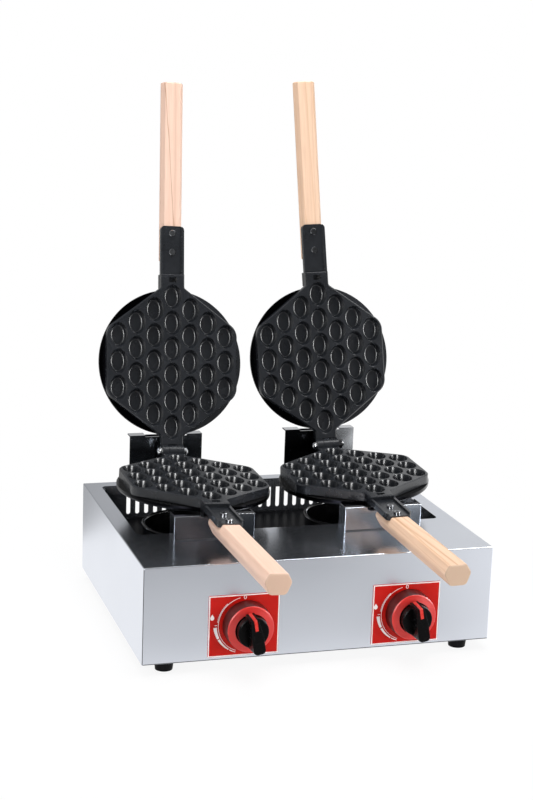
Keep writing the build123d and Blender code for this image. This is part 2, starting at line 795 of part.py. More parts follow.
# Burners: a cast bowl fed by a mixing tube, and a cap with a ring of flame ports
bowl_top_z = tray_z + burner_bowl_height
bowl_bottom_z = tray_z - burner_bowl_drop
tube_start_y = front_y + mixing_tube_start
for name, station in stations.items():
    bowl_x = station["x"]
    tube_start = Vector(station["knob_x"], tube_start_y, knob_z)
    tube_end = Vector(bowl_x, collar_y, knob_z)
    tube_direction = (tube_end - tube_start).normalized()
    tube_length = (tube_end - tube_start).length
    tube_plane = Plane(origin=tube_start, z_dir=tube_direction)
    with BuildPart() as burner_body:
        with BuildSketch(Plane.XY.offset(bowl_bottom_z)):
            with Locations((bowl_x, collar_y)):
                Circle(burner_bowl_radius)
        extrude(amount=bowl_top_z - bowl_bottom_z)
        with BuildSketch(Plane.XY.offset(tray_z)):
            with Locations((bowl_x, collar_y)):
                Circle(burner_flange_radius)
        extrude(amount=burner_flange_thickness)
        with BuildSketch(Plane.XY.offset(knob_z - throat_radius)):
            with Locations((bowl_x, collar_y)):
                Circle(throat_radius)
        extrude(amount=bowl_bottom_z - knob_z + throat_radius)
        with BuildSketch(tube_plane):
            Circle(mixing_tube_radius)
        extrude(amount=tube_length)
        with BuildSketch(tube_plane):
            Circle(mixing_mouth_radius)
        extrude(amount=mixing_mouth_length)
        with BuildSketch(Plane.XY.offset(bowl_top_z)):
            with Locations((bowl_x, collar_y)):
                Circle(burner_bowl_radius - burner_wall)
        extrude(amount=bowl_bottom_z + burner_wall - bowl_top_z, mode=Mode.SUBTRACT)
        with BuildSketch(Plane.XY.offset(bowl_top_z)):
            with Locations((bowl_x, collar_y)):
                Circle(throat_radius - burner_wall)
        extrude(amount=knob_z - throat_radius + burner_wall - bowl_top_z, mode=Mode.SUBTRACT)
        with BuildSketch(tube_plane):
            Circle(mixing_tube_radius - mixing_tube_wall)
        extrude(amount=tube_length, mode=Mode.SUBTRACT)
    save(burner_body, f"{name}_burner_body")

    with BuildPart() as burner_cap:
        with BuildSketch(Plane.XY.offset(bowl_top_z)):
            with Locations((bowl_x, collar_y)):
                Circle(cap_radius)
        extrude(amount=cap_height)
        top_rim = burner_cap.faces().sort_by(Axis.Z)[-1].edges()
        chamfer(top_rim, length=cap_slope)
        with BuildSketch(Plane.XY.offset(bowl_top_z)):
            with Locations((bowl_x, collar_y)):
                Circle(burner_bowl_radius - burner_wall)
        extrude(amount=-cap_lip)
        with BuildSketch(Plane.XY.offset(bowl_top_z - cap_lip)):
            with Locations((bowl_x, collar_y)):
                Circle(burner_bowl_radius - 2 * burner_wall)
        extrude(amount=cap_lip + cap_slope, mode=Mode.SUBTRACT)
        with BuildSketch(Plane.XY.offset(bowl_top_z + cap_height)):
            with Locations((bowl_x, collar_y)):
                Circle(centre_port_radius)
                with PolarLocations(burner_bowl_radius - port_ring_inset, port_count):
                    Circle(port_radius)
        extrude(amount=-cap_height, mode=Mode.SUBTRACT)
    save(burner_cap, f"{name}_burner_cap")

# Front brackets: folded channels on the deck, with a notch that holds the lower mould's neck
for name, station in stations.items():
    wall_y = front_y + front_bracket_back
    neck_corners = []
    for corner_x in (-half_tang, half_tang):
        for corner_reach in (hex_neck_reach, neck_step_reach):
            corner = Location((corner_x, lattice_y - corner_reach, -neck_depth))
            neck_corners.append((station["shut"] * corner).position)
    notch_floor_z = min(corner.Z for corner in neck_corners) - seat_gap
    notch_left = min(corner.X for corner in neck_corners) - notch_play
    notch_right = max(corner.X for corner in neck_corners) + notch_play
    with BuildPart() as front_bracket:
        with BuildSketch(Plane.XY.offset(deck_z)):
            with Locations((station["x"], wall_y + bracket_sheet / 2)):
                Rectangle(front_bracket_width, bracket_sheet)
            for return_side in (-1, 1):
                return_x = station["x"] + return_side * (front_bracket_width - bracket_sheet) / 2
                with Locations((return_x, wall_y + front_bracket_return / 2)):
                    Rectangle(bracket_sheet, front_bracket_return)
        extrude(amount=front_bracket_height)
        with BuildSketch(Plane.XY.offset(deck_z + front_bracket_height - bracket_sheet)):
            with Locations((station["x"], wall_y + front_bracket_flange / 2)):
                Rectangle(front_bracket_width, front_bracket_flange)
        extrude(amount=bracket_sheet)
        front_edges = front_bracket.faces().sort_by(Axis.Y)[0].edges()
        fillet(front_edges.filter_by(Axis.Z) + front_edges.group_by(Axis.Z)[-1], radius=bracket_fold_radius)
        with BuildSketch(Plane.XY.offset(deck_z)):
            with Locations((station["x"], wall_y + bracket_sheet + bracket_foot / 2)):
                Rectangle(front_bracket_width - 2 * bracket_sheet, bracket_foot)
        extrude(amount=bracket_sheet)
        with BuildSketch(Plane(origin=(0, wall_y, 0), x_dir=(1, 0, 0), z_dir=(0, -1, 0))):
            notch_height = deck_z + front_bracket_height - notch_floor_z
            with Locations(((notch_left + notch_right) / 2, notch_floor_z + notch_height)):
                notch_shape = Rectangle(notch_right - notch_left, 2 * notch_height)
            fillet(notch_shape.vertices().group_by(Axis.Y)[0], radius=notch_corner)
        extrude(amount=-front_bracket_flange, mode=Mode.SUBTRACT)
        with BuildSketch(Plane.XY.offset(deck_z)):
            with Locations(*bracket_screw_places):
                Circle(bracket_screw_radius)
        extrude(amount=bracket_sheet, mode=Mode.SUBTRACT)
    save(front_bracket, f"{name}_front_bracket")

# Rear brackets: upright plates with a window for the lower mould's tail, two tabs turned back, and a narrower
# guard that stands up again from the rear edge of the foot and closes the window from behind
for name, station in stations.items():
    wall_y = front_y + rear_bracket_back
    tail_heights = []
    for corner_x in (-tail_width / 2, tail_width / 2):
        for corner_y in (0, tail_reach):
            for corner_z in (-tail_depth, -tail_top):
                corner = Location((corner_x, corner_y, corner_z))
                tail_heights.append((station["shut"] * corner).position.Z)
    sill_z = min(tail_heights) - seat_gap
    window_top_z = max(tail_heights) + lift_travel + window_spare
    dip_z = deck_z + rear_bracket_height - rear_bracket_dip
    wall_plane = Plane(origin=(station["x"], wall_y, 0), x_dir=(1, 0, 0), z_dir=(0, -1, 0))
    tab_x = (rear_bracket_width - rear_tab_width) / 2
    with BuildPart() as rear_bracket:
        with BuildSketch(wall_plane):
            with Locations((0, (deck_z + dip_z) / 2)):
                Rectangle(rear_bracket_width, dip_z - deck_z)
            for tab_side in (-1, 1):
                with Locations((tab_side * tab_x, deck_z + rear_bracket_height / 2)):
                    Rectangle(rear_tab_width, rear_bracket_height)
        extrude(amount=-bracket_sheet)
        with BuildSketch(wall_plane):
            with Locations((0, (sill_z + window_top_z) / 2)):
                window_shape = Rectangle(window_width, window_top_z - sill_z)
            fillet(window_shape.vertices().group_by(Axis.Y)[-1], radius=window_corner)
        extrude(amount=-bracket_sheet, mode=Mode.SUBTRACT)
        with BuildSketch(Plane.XY.offset(deck_z + rear_bracket_height - bracket_sheet)):
            for tab_side in (-1, 1):
                with Locations((station["x"] + tab_side * tab_x, wall_y + rear_tab_depth / 2)):
                    Rectangle(rear_tab_width, rear_tab_depth)
        extrude(amount=bracket_sheet)
        with BuildSketch(Plane.XY.offset(deck_z)):
            with Locations((station["x"], wall_y + bracket_sheet + bracket_foot / 2)):
                Rectangle(rear_bracket_width, bracket_foot)
            with Locations(*bracket_screw_places):
                Circle(bracket_screw_radius, mode=Mode.SUBTRACT)
        extrude(amount=bracket_sheet)
        with BuildSketch(wall_plane.offset(-bracket_foot)):
            with Locations((0, (deck_z + dip_z) / 2)):
                Rectangle(rear_guard_width, dip_z - deck_z)
        extrude(amount=-bracket_sheet)
    save(rear_bracket, f"{name}_rear_bracket")

bracket_top_z = deck_z + bracket_sheet
with BuildPart() as bracket_screws:
    with BuildSketch(Plane.XY.offset(bracket_top_z)):
        with Locations(*bracket_screw_places):
            Circle(bracket_screw_head)
    extrude(amount=bracket_screw_head_height)
    chamfer(bracket_screws.faces().group_by(Axis.Z)[-1].edges(), length=bracket_screw_chamfer)
    with BuildSketch(Plane.XY.offset(bracket_top_z)):
        with Locations(*bracket_screw_places):
            Circle(bracket_screw_radius)
    extrude(amount=-bracket_screw_length)
save(bracket_screws, "bracket_screws")


def outward_plane(x, z):
    """Section plane through a knob's axis: x is the radius, y is the height above the front sheet."""
    return Plane(origin=(x, front_y, z), x_dir=(1, 0, 0), z_dir=(0, 0, -1))


def facing_plane(x, z, height):
    """Plane square to a knob's axis, at a height above the front sheet, as the user sees it."""
    return Plane(origin=(x, front_y - height, z), x_dir=(1, 0, 0), z_dir=(0, -1, 0))


# Dial plates, bezels, knobs, stems and valves, station by station
valve_front_y = inside_front_y
knob_back_height = dial_sheet + bezel_floor + knob_press + knob_gap
grip_floor_height = bezel_crown_height + knob_press + knob_gap
valve_back_y = valve_front_y + valve_length
plunger_front_y = valve_front_y + plunger_start
stem_back_y = plunger_front_y + plunger_socket_depth
for name, station in stations.items():
    knob_x = station["knob_x"]
    knob_axis = Axis((knob_x, front_y, knob_z), (0, -1, 0))
    with BuildPart() as dial_plate:
        with BuildSketch(facing_plane(station["dial_x"], dial_z, 0)):
            RectangleRounded(dial_width, dial_height, dial_corner)
            with Locations((knob_shift, knob_lift)):
                Circle(stem_radius + stem_hole_clearance, mode=Mode.SUBTRACT)
        extrude(amount=dial_sheet)
    save(dial_plate, f"{name}_dial_plate")

    with BuildPart() as bezel:
        with BuildSketch(outward_plane(knob_x, knob_z)):
            with BuildLine():
                Polyline((bezel_hole_radius, dial_sheet), (bezel_base_radius, dial_sheet),
                         (bezel_rim_radius, bezel_rim_height),
                         (bezel_recess_radius, bezel_crown_height),
                         (bezel_recess_radius, dial_sheet + bezel_floor),
                         (bezel_hole_radius, dial_sheet + bezel_floor), close=True)
            make_face()
        revolve(axis=knob_axis)
        rim_edges = bezel.edges().filter_by(GeomType.CIRCLE).filter_by(
            lambda edge: abs(edge.radius - bezel_rim_radius) < match)
        fillet(rim_edges, radius=bezel_edge_radius)
    save(bezel, f"{name}_bezel")

    # The grip is a tall bar across the disc, wider at its tail, and turns back a little from straight up. The
    # pointer is let into its front face and runs over the head's end. When the knob is pressed, its back
    # stays clear of the bezel's floor and the grip's ends clear of its crown.
    grip_turn = Rotation(0, -knob_turn_back, 0)
    grip_lean = (grip_height - grip_floor_height) * math.tan(math.radians(grip_draft))
    head_top = grip_head - grip_lean
    with BuildPart() as pointer_form:
        with BuildSketch(Plane.YZ):
            with BuildLine():
                Polyline((-grip_height + pointer_depth, pointer_start),
                         (-grip_height - pointer_proud, pointer_start),
                         (-grip_height - pointer_proud, head_top),
                         (-grip_height + pointer_proud, head_top + pointer_proud),
                         (-grip_floor_height - overlap, grip_head + pointer_proud),
                         (-grip_floor_height - overlap, grip_head - pointer_depth),
                         (-grip_height + pointer_depth, head_top - pointer_depth), close=True)
            make_face()
        extrude(amount=pointer_width / 2, both=True)
    with BuildPart() as knob_form:
        with BuildSketch(Plane(origin=(0, -knob_back_height, 0), x_dir=(1, 0, 0), z_dir=(0, -1, 0))):
            Circle(knob_radius)
        extrude(amount=knob_disc_height - knob_back_height)
        disc_rim = knob_form.faces().sort_by(Axis.Y)[0].edges()
        fillet(disc_rim, radius=knob_edge_radius)
        with BuildSketch(Plane(origin=(0, -grip_floor_height, 0), x_dir=(1, 0, 0), z_dir=(0, -1, 0))):
            with BuildLine():
                Polyline((-grip_head_width / 2, grip_head), (grip_head_width / 2, grip_head),
                         (grip_width / 2, 0), (grip_width / 2, -grip_tail),
                         (-grip_width / 2, -grip_tail), (-grip_width / 2, 0), close=True)
            grip_shape = make_face()
            fillet(grip_shape.vertices().group_by(Axis.Y)[0], radius=grip_tail_round)
        extrude(amount=grip_height - grip_floor_height, taper=grip_draft)
        fillet(knob_form.faces().sort_by(Axis.Y)[0].edges(), radius=grip_edge_radius)
        add(pointer_form.part, mode=Mode.SUBTRACT)
        with BuildSketch(Plane(origin=(0, -knob_back_height, 0), x_dir=(1, 0, 0), z_dir=(0, -1, 0))):
            Circle(stem_radius)
        extrude(amount=stem_depth, mode=Mode.SUBTRACT)
    knob_place = Location((knob_x, front_y, knob_z)) * grip_turn
    with BuildPart() as knob:
        add(knob_form.part.moved(knob_place))
    save(knob, f"{name}_knob")
    with BuildPart() as pointer:
        add(pointer_form.part.moved(knob_place))
    save(pointer, f"{name}_pointer")

    stem_front_height = knob_back_height + stem_depth
    with BuildPart() as valve_stem:
        with BuildSketch(facing_plane(knob_x, knob_z, front_y - stem_back_y)):
            Circle(stem_radius)
        extrude(amount=stem_back_y - front_y + stem_front_height)
    save(valve_stem, f"{name}_valve_stem")

    with BuildPart() as valve_plunger:
        with BuildSketch(facing_plane(knob_x, knob_z, front_y - plunger_front_y - plunger_length)):
            Circle(plunger_radius)
        extrude(amount=plunger_length)
        with BuildSketch(facing_plane(knob_x, knob_z, front_y - stem_back_y - running_clearance)):
            Circle(stem_radius + running_clearance)
        extrude(amount=plunger_socket_depth + overlap, mode=Mode.SUBTRACT)
    save(valve_plunger, f"{name}_valve_plunger")

    pipe_y = front_y + pipe_back
    with BuildPart() as valve_body:
        with BuildSketch(facing_plane(knob_x, knob_z, front_y - valve_back_y)):
            Circle(valve_radius)
        extrude(amount=valve_length)
        with BuildSketch(Plane.XY.offset(pipe_z)):
            with Locations((knob_x, pipe_y)):
                Circle(valve_neck_radius)
        extrude(amount=knob_z - pipe_z)
        with Locations((knob_x, pipe_y, pipe_z)):
            Cylinder(pipe_radius, saddle_length, rotation=(0, 90, 0), mode=Mode.SUBTRACT)
        with BuildSketch(facing_plane(knob_x, knob_z, front_y - valve_front_y)):
            Circle(plunger_radius + running_clearance)
        extrude(amount=-valve_bore_length, mode=Mode.SUBTRACT)
    save(valve_body, f"{name}_valve_body")

    with BuildPart() as injector:
        with BuildSketch(facing_plane(knob_x, knob_z, front_y - valve_back_y)):
            RegularPolygon(injector_across / 2, 6, major_radius=False)
        extrude(amount=-injector_length / 2)
        with BuildSketch(facing_plane(knob_x, knob_z, front_y - valve_back_y)):
            Circle(injector_tip_radius)
        extrude(amount=-injector_length)
        with BuildSketch(facing_plane(knob_x, knob_z, front_y - valve_back_y)):
            Circle(injector_jet_radius)
        extrude(amount=-injector_length, mode=Mode.SUBTRACT)
    save(injector, f"{name}_injector")

    # Ignition: a ceramic electrode beside the burner, and its lead from the valve
    electrode_x = station["x"] + electrode_offset
    electrode_bottom_z = tray_z - electrode_drop
    with BuildPart() as ignition_electrode:
        with BuildSketch(Plane.XY.offset(electrode_bottom_z)):
            with Locations((electrode_x, collar_y)):
                Circle(electrode_radius)
        extrude(amount=electrode_height + electrode_drop - electrode_wire_length)
        with BuildSketch(Plane.XY.offset(electrode_bottom_z)):
            with Locations((electrode_x, collar_y)):
                Circle(electrode_wire_radius)
        extrude(amount=electrode_height + electrode_drop)
    save(ignition_electrode, f"{name}_ignition_electrode")

    lead_y = valve_front_y + valve_length / 2
    with BuildPart() as ignition_lead:
        with BuildLine() as lead_path:
            FilletPolyline((electrode_x, collar_y, electrode_bottom_z), (electrode_x, collar_y, knob_z),
                           (electrode_x, lead_y, knob_z), (knob_x + valve_radius, lead_y, knob_z),
                           radius=lead_bend_radius)
        with BuildSketch(Plane(origin=(electrode_x, collar_y, electrode_bottom_z), z_dir=(0, 0, -1))):
            Circle(lead_radius)
        sweep(path=lead_path.line)
    save(ignition_lead, f"{name}_ignition_lead")

# Manifold pipe along the front, then back to the inlet, with a plug in its blind end
pipe_start = Vector(min(knob_middles) - pipe_overhang, pipe_y, pipe_z)
pipe_corner = Vector(inlet_x, pipe_y, pipe_z)
pipe_end = Vector(inlet_x, panel_front_y - inlet_socket_length, pipe_z)
with BuildPart() as manifold_pipe:
    with BuildLine() as pipe_path:
        FilletPolyline(pipe_start, pipe_corner, pipe_end, radius=pipe_bend_radius)
    with BuildSketch(Plane(origin=pipe_start, z_dir=(1, 0, 0))):
        Circle(pipe_radius)
        Circle(pipe_radius - pipe_wall, mode=Mode.SUBTRACT)
    sweep(path=pipe_path.line)
save(manifold_pipe, "manifold_pipe")

with BuildPart() as manifold_plug:
    with BuildSketch(Plane(origin=pipe_start, z_dir=(-1, 0, 0))):
        Circle(pipe_radius + plug_wall)
    extrude(amount=plug_wall)
    with BuildSketch(Plane(origin=pipe_start, z_dir=(1, 0, 0))):
        Circle(pipe_radius - pipe_wall)
    extrude(amount=plug_length)
save(manifold_plug, "manifold_plug")

# Gas inlet: a socket on the pipe's end, a hexagon outside the rear panel and a male thread
with BuildPart() as gas_inlet:
    inlet_back = Plane(origin=(inlet_x, pipe_end.Y, pipe_z), x_dir=(-1, 0, 0), z_dir=(0, 1, 0))
    with BuildSketch(inlet_back):
        Circle(inlet_thread_radius)
    extrude(amount=back_y - pipe_end.Y + inlet_hex_length + inlet_thread_length)
    with BuildSketch(Plane(origin=(inlet_x, back_y, pipe_z), x_dir=(-1, 0, 0), z_dir=(0, 1, 0))):
        RegularPolygon(inlet_hex_across / 2, 6, major_radius=False)
    extrude(amount=inlet_hex_length)
    with BuildSketch(inlet_back):
        Circle(inlet_bore_radius)
    extrude(amount=back_y - pipe_end.Y + inlet_hex_length + inlet_thread_length, mode=Mode.SUBTRACT)
save(gas_inlet, "gas_inlet")
print("inlet axis", inlet_x, round(back_y, 4), pipe_z)
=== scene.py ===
import math

import bmesh
import bpy
import numpy as np
from mathutils import Matrix, Vector


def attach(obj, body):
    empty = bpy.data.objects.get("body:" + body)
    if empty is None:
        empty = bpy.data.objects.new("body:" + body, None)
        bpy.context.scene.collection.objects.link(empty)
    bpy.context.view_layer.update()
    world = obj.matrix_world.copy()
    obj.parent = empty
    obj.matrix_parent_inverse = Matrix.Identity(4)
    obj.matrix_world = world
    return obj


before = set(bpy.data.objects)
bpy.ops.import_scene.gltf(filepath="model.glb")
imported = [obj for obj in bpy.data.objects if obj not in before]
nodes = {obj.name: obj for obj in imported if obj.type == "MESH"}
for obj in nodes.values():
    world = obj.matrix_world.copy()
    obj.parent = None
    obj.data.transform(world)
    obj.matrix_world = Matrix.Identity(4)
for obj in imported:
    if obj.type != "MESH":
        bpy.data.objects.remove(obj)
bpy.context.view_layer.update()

sides = ("left", "right")
mm = 0.001
print("frame loaded:", len(nodes), "nodes")


# a material with its tree and its shader
def startMaterial(name):
    material = bpy.data.materials.new(name)
    material.use_nodes = True
    tree = material.node_tree
    return material, tree, tree.nodes["Principled BSDF"]


# a node with its settings, its plain values and the sockets that feed it
def addNode(tree, kind, settings=None, inputs=None, links=None):
    node = tree.nodes.new(kind)
    for key, value in (settings or {}).items():
        setattr(node, key, value)
    for key, value in (inputs or {}).items():
        node.inputs[key].default_value = value
    for key, socket in (links or {}).items():
        tree.links.new(socket, node.inputs[key])
    return node


# a socket takes a number, a colour or another node's output
def feed(tree, socket, value):
    if isinstance(value, (int, float)):
        socket.default_value = value
    elif isinstance(value, tuple):
        socket.default_value = (*value, 1.0)
    else:
        tree.links.new(value, socket)


def calculate(tree, operation, *values):
    node = addNode(tree, "ShaderNodeMath", {"operation": operation})
    for socket, value in zip(node.inputs, values):
        feed(tree, socket, value)
    return node.outputs["Value"]


# Object coordinates through a Mapping node
def objectPoint(tree, scale=(1, 1, 1)):
    coords = addNode(tree, "ShaderNodeTexCoord")
    return addNode(tree, "ShaderNodeMapping", {}, {"Scale": scale},
                   {"Vector": coords.outputs["Object"]}).outputs["Vector"]


def axesOf(tree, vector):
    return addNode(tree, "ShaderNodeSeparateXYZ", {}, {}, {0: vector}).outputs


def surfaceNormal(tree):
    return addNode(tree, "ShaderNodeNewGeometry").outputs["Normal"]


def noiseOn(tree, vector, scale, detail, roughness=0.5):
    return addNode(tree, "ShaderNodeTexNoise", {}, {"Scale": scale, "Detail": detail, "Roughness": roughness},
                   {"Vector": vector}).outputs["Fac"]


# a colour ramp; stops are (position, colour)
def ramp(tree, value, stops):
    node = addNode(tree, "ShaderNodeValToRGB", {}, {}, {"Fac": value})
    elements = node.color_ramp.elements
    while len(elements) < len(stops):
        elements.new(0.5)
    for element, (place, colour) in zip(elements, stops):
        element.position = place
        element.color = (*colour, 1.0)
    return node.outputs["Color"]


# a value mapped linearly onto low..high
def spread(tree, value, low, high, fromLow=0.0, fromHigh=1.0):
    limits = {"From Min": fromLow, "From Max": fromHigh, "To Min": low, "To Max": high}
    return addNode(tree, "ShaderNodeMapRange", {}, limits, {"Value": value}).outputs["Result"]


def mixColours(tree, share, first, second, blend="MIX"):
    node = addNode(tree, "ShaderNodeMix", {"data_type": "RGBA", "blend_type": blend})
    for place, value in ((0, share), (6, first), (7, second)):
        feed(tree, node.inputs[place], value)
    return node.outputs[2]


def mixNumbers(tree, share, first, second):
    node = addNode(tree, "ShaderNodeMix", {"data_type": "FLOAT"})
    for place, value in ((0, share), (2, first), (3, second)):
        feed(tree, node.inputs[place], value)
    return node.outputs[0]


def mixShaders(tree, share, first, second):
    return addNode(tree, "ShaderNodeMixShader", {}, {}, {0: share, 1: first, 2: second}).outputs[0]


def bump(tree, height, strength, depth):
    return addNode(tree, "ShaderNodeBump", {}, {"Strength": strength, "Distance": depth},
                   {"Height": height}).outputs["Normal"]


# white light of a given strength, from a surface or from the world
def whiteLight(tree, kind, strength):
    node = addNode(tree, kind, {}, {"Color": (1, 1, 1, 1)})
    feed(tree, node.inputs["Strength"], strength)
    return node.outputs[0]


# the rays that come from the camera, straight or through something clear, and those that a gloss mirrors
def raysSeen(tree):
    path = addNode(tree, "ShaderNodeLightPath").outputs
    direct = calculate(tree, "MAXIMUM", path["Is Camera Ray"], path["Is Transmission Ray"])
    return direct, path["Is Glossy Ray"]


# a surface's colour, roughness and bump go to its shader
def dress(tree, shader, colour, roughness, normal):
    for socketName, source in (("Base Color", colour), ("Roughness", roughness), ("Normal", normal)):
        tree.links.new(source, shader.inputs[socketName])


noiseMiddle = (0.3, 0.7)        # most of a noise lies between these


def patches(tree, noise, dark, light):
    return ramp(tree, noise, list(zip(noiseMiddle, (dark, light))))


sheetSurface = {"deckFacing": (0.6, 0.9), "streakScale": 1.0, "streakDetail": 3.0, "cloudScale": 7.0,
                "cloudDetail": 2.0, "bumpDepth": 0.0002}


# rolled sheet: fine streaks vary the roughness and a very shallow bump, with one look for the walls and one
# for faces that look up; beyond a place along X the walls may take a painted bright reflection
def sheetSteel(name, look):
    material, tree, shader = startMaterial(name)
    streakShape = sheetSurface["streakScale"], sheetSurface["streakDetail"]
    wallStreaks = noiseOn(tree, objectPoint(tree, look["wallStreak"]), *streakShape)
    deckStreaks = noiseOn(tree, objectPoint(tree, look["deckStreak"]), *streakShape)
    flat = spread(tree, axesOf(tree, surfaceNormal(tree))["Z"], 0.0, 1.0, *sheetSurface["deckFacing"])
    clouds = noiseOn(tree, objectPoint(tree), sheetSurface["cloudScale"], sheetSurface["cloudDetail"])
    wallTint = patches(tree, clouds, look["dark"], look["light"])
    # painted bright reflection on the walls beyond a place along X
    if "paintedReflection" in look:
        across = axesOf(tree, objectPoint(tree))["X"]
        paintedReflection = spread(tree, across, 0.0, 1.0, *look["paintedReflection"])
        wallTint = mixColours(tree, paintedReflection, wallTint, look["bright"])
    deckTint = patches(tree, clouds, look["deckDark"], look["deckLight"])
    shader.inputs["Metallic"].default_value = 1.0
    wallRough = spread(tree, wallStreaks, look["smooth"], look["rough"], *noiseMiddle)
    deckRough = spread(tree, deckStreaks, look["deckSmooth"], look["deckRough"], *noiseMiddle)
    tint = mixColours(tree, flat, wallTint, deckTint)
    rough = mixNumbers(tree, flat, wallRough, deckRough)
    streaks = mixNumbers(tree, flat, wallStreaks, deckStreaks)
    dress(tree, shader, tint, rough, bump(tree, streaks, look["bump"], sheetSurface["bumpDepth"]))
    return material


mouldFaces = {"flatness": 0.98, "countsPerArea": 1e7}


# a mould's flat direction from its mesh: the direction that most of its area faces, pointing away from its
# broad outer face, and that face's level along it, which is the median of the flat faces' levels by area
def mouldFrame(node):
    polygons = node.data.polygons
    normals, centres = np.empty(len(polygons) * 3), np.empty(len(polygons) * 3)
    areas = np.empty(len(polygons))
    for measure, values in (("normal", normals), ("center", centres), ("area", areas)):
        polygons.foreach_get(measure, values)
    normals, centres = normals.reshape(-1, 3), centres.reshape(-1, 3)
    facing = np.linalg.eigh((normals * areas[:, None]).T @ normals)[1][:, -1]
    levels = centres @ facing
    flat = np.abs(normals @ facing) > mouldFaces["flatness"]
    counts = np.maximum(1, (areas[flat] * mouldFaces["countsPerArea"]).astype(int))
    outer = np.median(np.repeat(levels[flat], counts))
    middle = (levels.min() + levels.max()) / 2
    return (facing, outer) if outer < middle else (-facing, -outer)


# how much painted shade a mould gets: fully on the round disc behind the hexagon, not on the hexagon nor on
# the broad outer face, and on an upper half less and less towards +X, so that the painted shade lies on its
# left
def paintedDiscShade(tree, point, look, node):
    facing, outer = mouldFrame(node)
    rise = addNode(tree, "ShaderNodeVectorMath", {"operation": "DOT_PRODUCT"}, {1: tuple(facing)}, {0: point})
    rise = rise.outputs["Value"]
    begun = spread(tree, rise, 0.0, 1.0, *(outer + level for level in look["shadeStart"]))
    ended = spread(tree, rise, 1.0, 0.0, *(outer + level for level in look["shadeEnd"]))
    paintedShade = calculate(tree, "MULTIPLY", ended, begun)
    if "shadeSide" in look:
        sideways = spread(tree, axesOf(tree, point)["X"], 1.0, 0.0, *look["shadeSide"])
        paintedShade = calculate(tree, "MULTIPLY", paintedShade, sideways)
    return paintedShade


metalSurface = {"detail": 3.0, "bumpDepth": 0.0004}


# cast or coated metal: a fine grain in the bump and soft patches in the roughness; a mould's disc gets
# painted shade, blacker and mirroring less, standing in for the shade that falls on it
def castMetal(name, look, node=None):
    material, tree, shader = startMaterial(name)
    point = objectPoint(tree)
    grain = noiseOn(tree, point, look["grainScale"], metalSurface["detail"])
    clouds = noiseOn(tree, point, look["cloudScale"], metalSurface["detail"])
    tint = patches(tree, clouds, look["dark"], look["light"])
    shader.inputs["Metallic"].default_value = look["metal"]
    # painted shade on the disc: a darker colour, and the same share drives Metallic so that the shaded disc
    # mirrors almost nothing
    if node:
        paintedShade = paintedDiscShade(tree, point, look, node)
        tint = mixColours(tree, paintedShade, tint, look["paintedShadeColour"])
        tree.links.new(paintedShade, shader.inputs["Metallic"])
    shader.inputs["Specular IOR Level"].default_value = look["specular"]
    dress(tree, shader, tint, spread(tree, clouds, look["smooth"], look["rough"]),
          bump(tree, grain, look["bump"], metalSurface["bumpDepth"]))
    return material


plasticSurface = {"cloudScale": 60.0, "cloudDetail": 3.0, "textureScale": 900.0, "textureDetail": 2.0,
                  "flankFacing": (-0.45, -0.15), "coatRoughness": 0.08, "bumpDepth": 0.0002}


# moulded plastic or rubber: nearly even colour, faint flow patches, fine surface texture; a flank turned away
# from the front may get a darker painted shade
def mouldedPlastic(name, look):
    material, tree, shader = startMaterial(name)
    point = objectPoint(tree)
    clouds = noiseOn(tree, point, plasticSurface["cloudScale"], plasticSurface["cloudDetail"])
    texture = noiseOn(tree, point, plasticSurface["textureScale"], plasticSurface["textureDetail"])
    tint = patches(tree, clouds, look["dark"], look["light"])
    # painted shade on a flank that faces away from the front
    if "paintedFlankShade" in look:
        outward = axesOf(tree, surfaceNormal(tree))["Y"]
        shadedFlank = spread(tree, outward, 0.0, 1.0, *plasticSurface["flankFacing"])
        tint = mixColours(tree, shadedFlank, tint, look["paintedFlankShade"])
    shader.inputs["Specular IOR Level"].default_value = look["specular"]
    shader.inputs["Coat Weight"].default_value = look["coat"]
    shader.inputs["Coat Roughness"].default_value = plasticSurface["coatRoughness"]
    dress(tree, shader, tint, spread(tree, clouds, look["smooth"], look["rough"]),
          bump(tree, texture, look["bump"], plasticSurface["bumpDepth"]))
    return material


steelLook = {"wallStreak": (12, 12, 400), "deckStreak": (12, 400, 60), "dark": (0.745, 0.775, 0.845),
             "light": (0.775, 0.805, 0.875), "deckDark": (0.63, 0.66, 0.725),
             "deckLight": (0.67, 0.70, 0.765), "smooth": 0.255, "rough": 0.27, "deckSmooth": 0.18,
             "deckRough": 0.21, "bump": 0.002}
bracketLook = {"wallStreak": (30, 30, 400), "deckStreak": (30, 400, 60), "dark": (0.50, 0.545, 0.61),
               "light": (0.57, 0.615, 0.68), "deckDark": (0.60, 0.61, 0.64), "deckLight": (0.66, 0.67, 0.70),
               "smooth": 0.21, "rough": 0.24, "deckSmooth": 0.14, "deckRough": 0.18, "bump": 0.002}
# painted dark reflection: a darker tint for brackets that mirror dark surroundings
paintedDarkBracketLook = dict(bracketLook, dark=(0.11, 0.122, 0.14), light=(0.145, 0.157, 0.175))
# painted reflection: nearly black for the dark mould it mirrors, with a painted bright reflection beyond a
# place along X
paintedReflectionBracketLook = dict(bracketLook, dark=(0.012, 0.013, 0.015), light=(0.02, 0.021, 0.024),
                       paintedReflection=(0.125, 0.135), bright=(0.68, 0.70, 0.73))
zincLook = {"wallStreak": (60, 60, 60), "deckStreak": (60, 60, 60), "dark": (0.42, 0.43, 0.45),
            "light": (0.58, 0.59, 0.61), "deckDark": (0.42, 0.43, 0.45), "deckLight": (0.58, 0.59, 0.61),
            "smooth": 0.30, "rough": 0.50, "deckSmooth": 0.30, "deckRough": 0.50, "bump": 0.10}
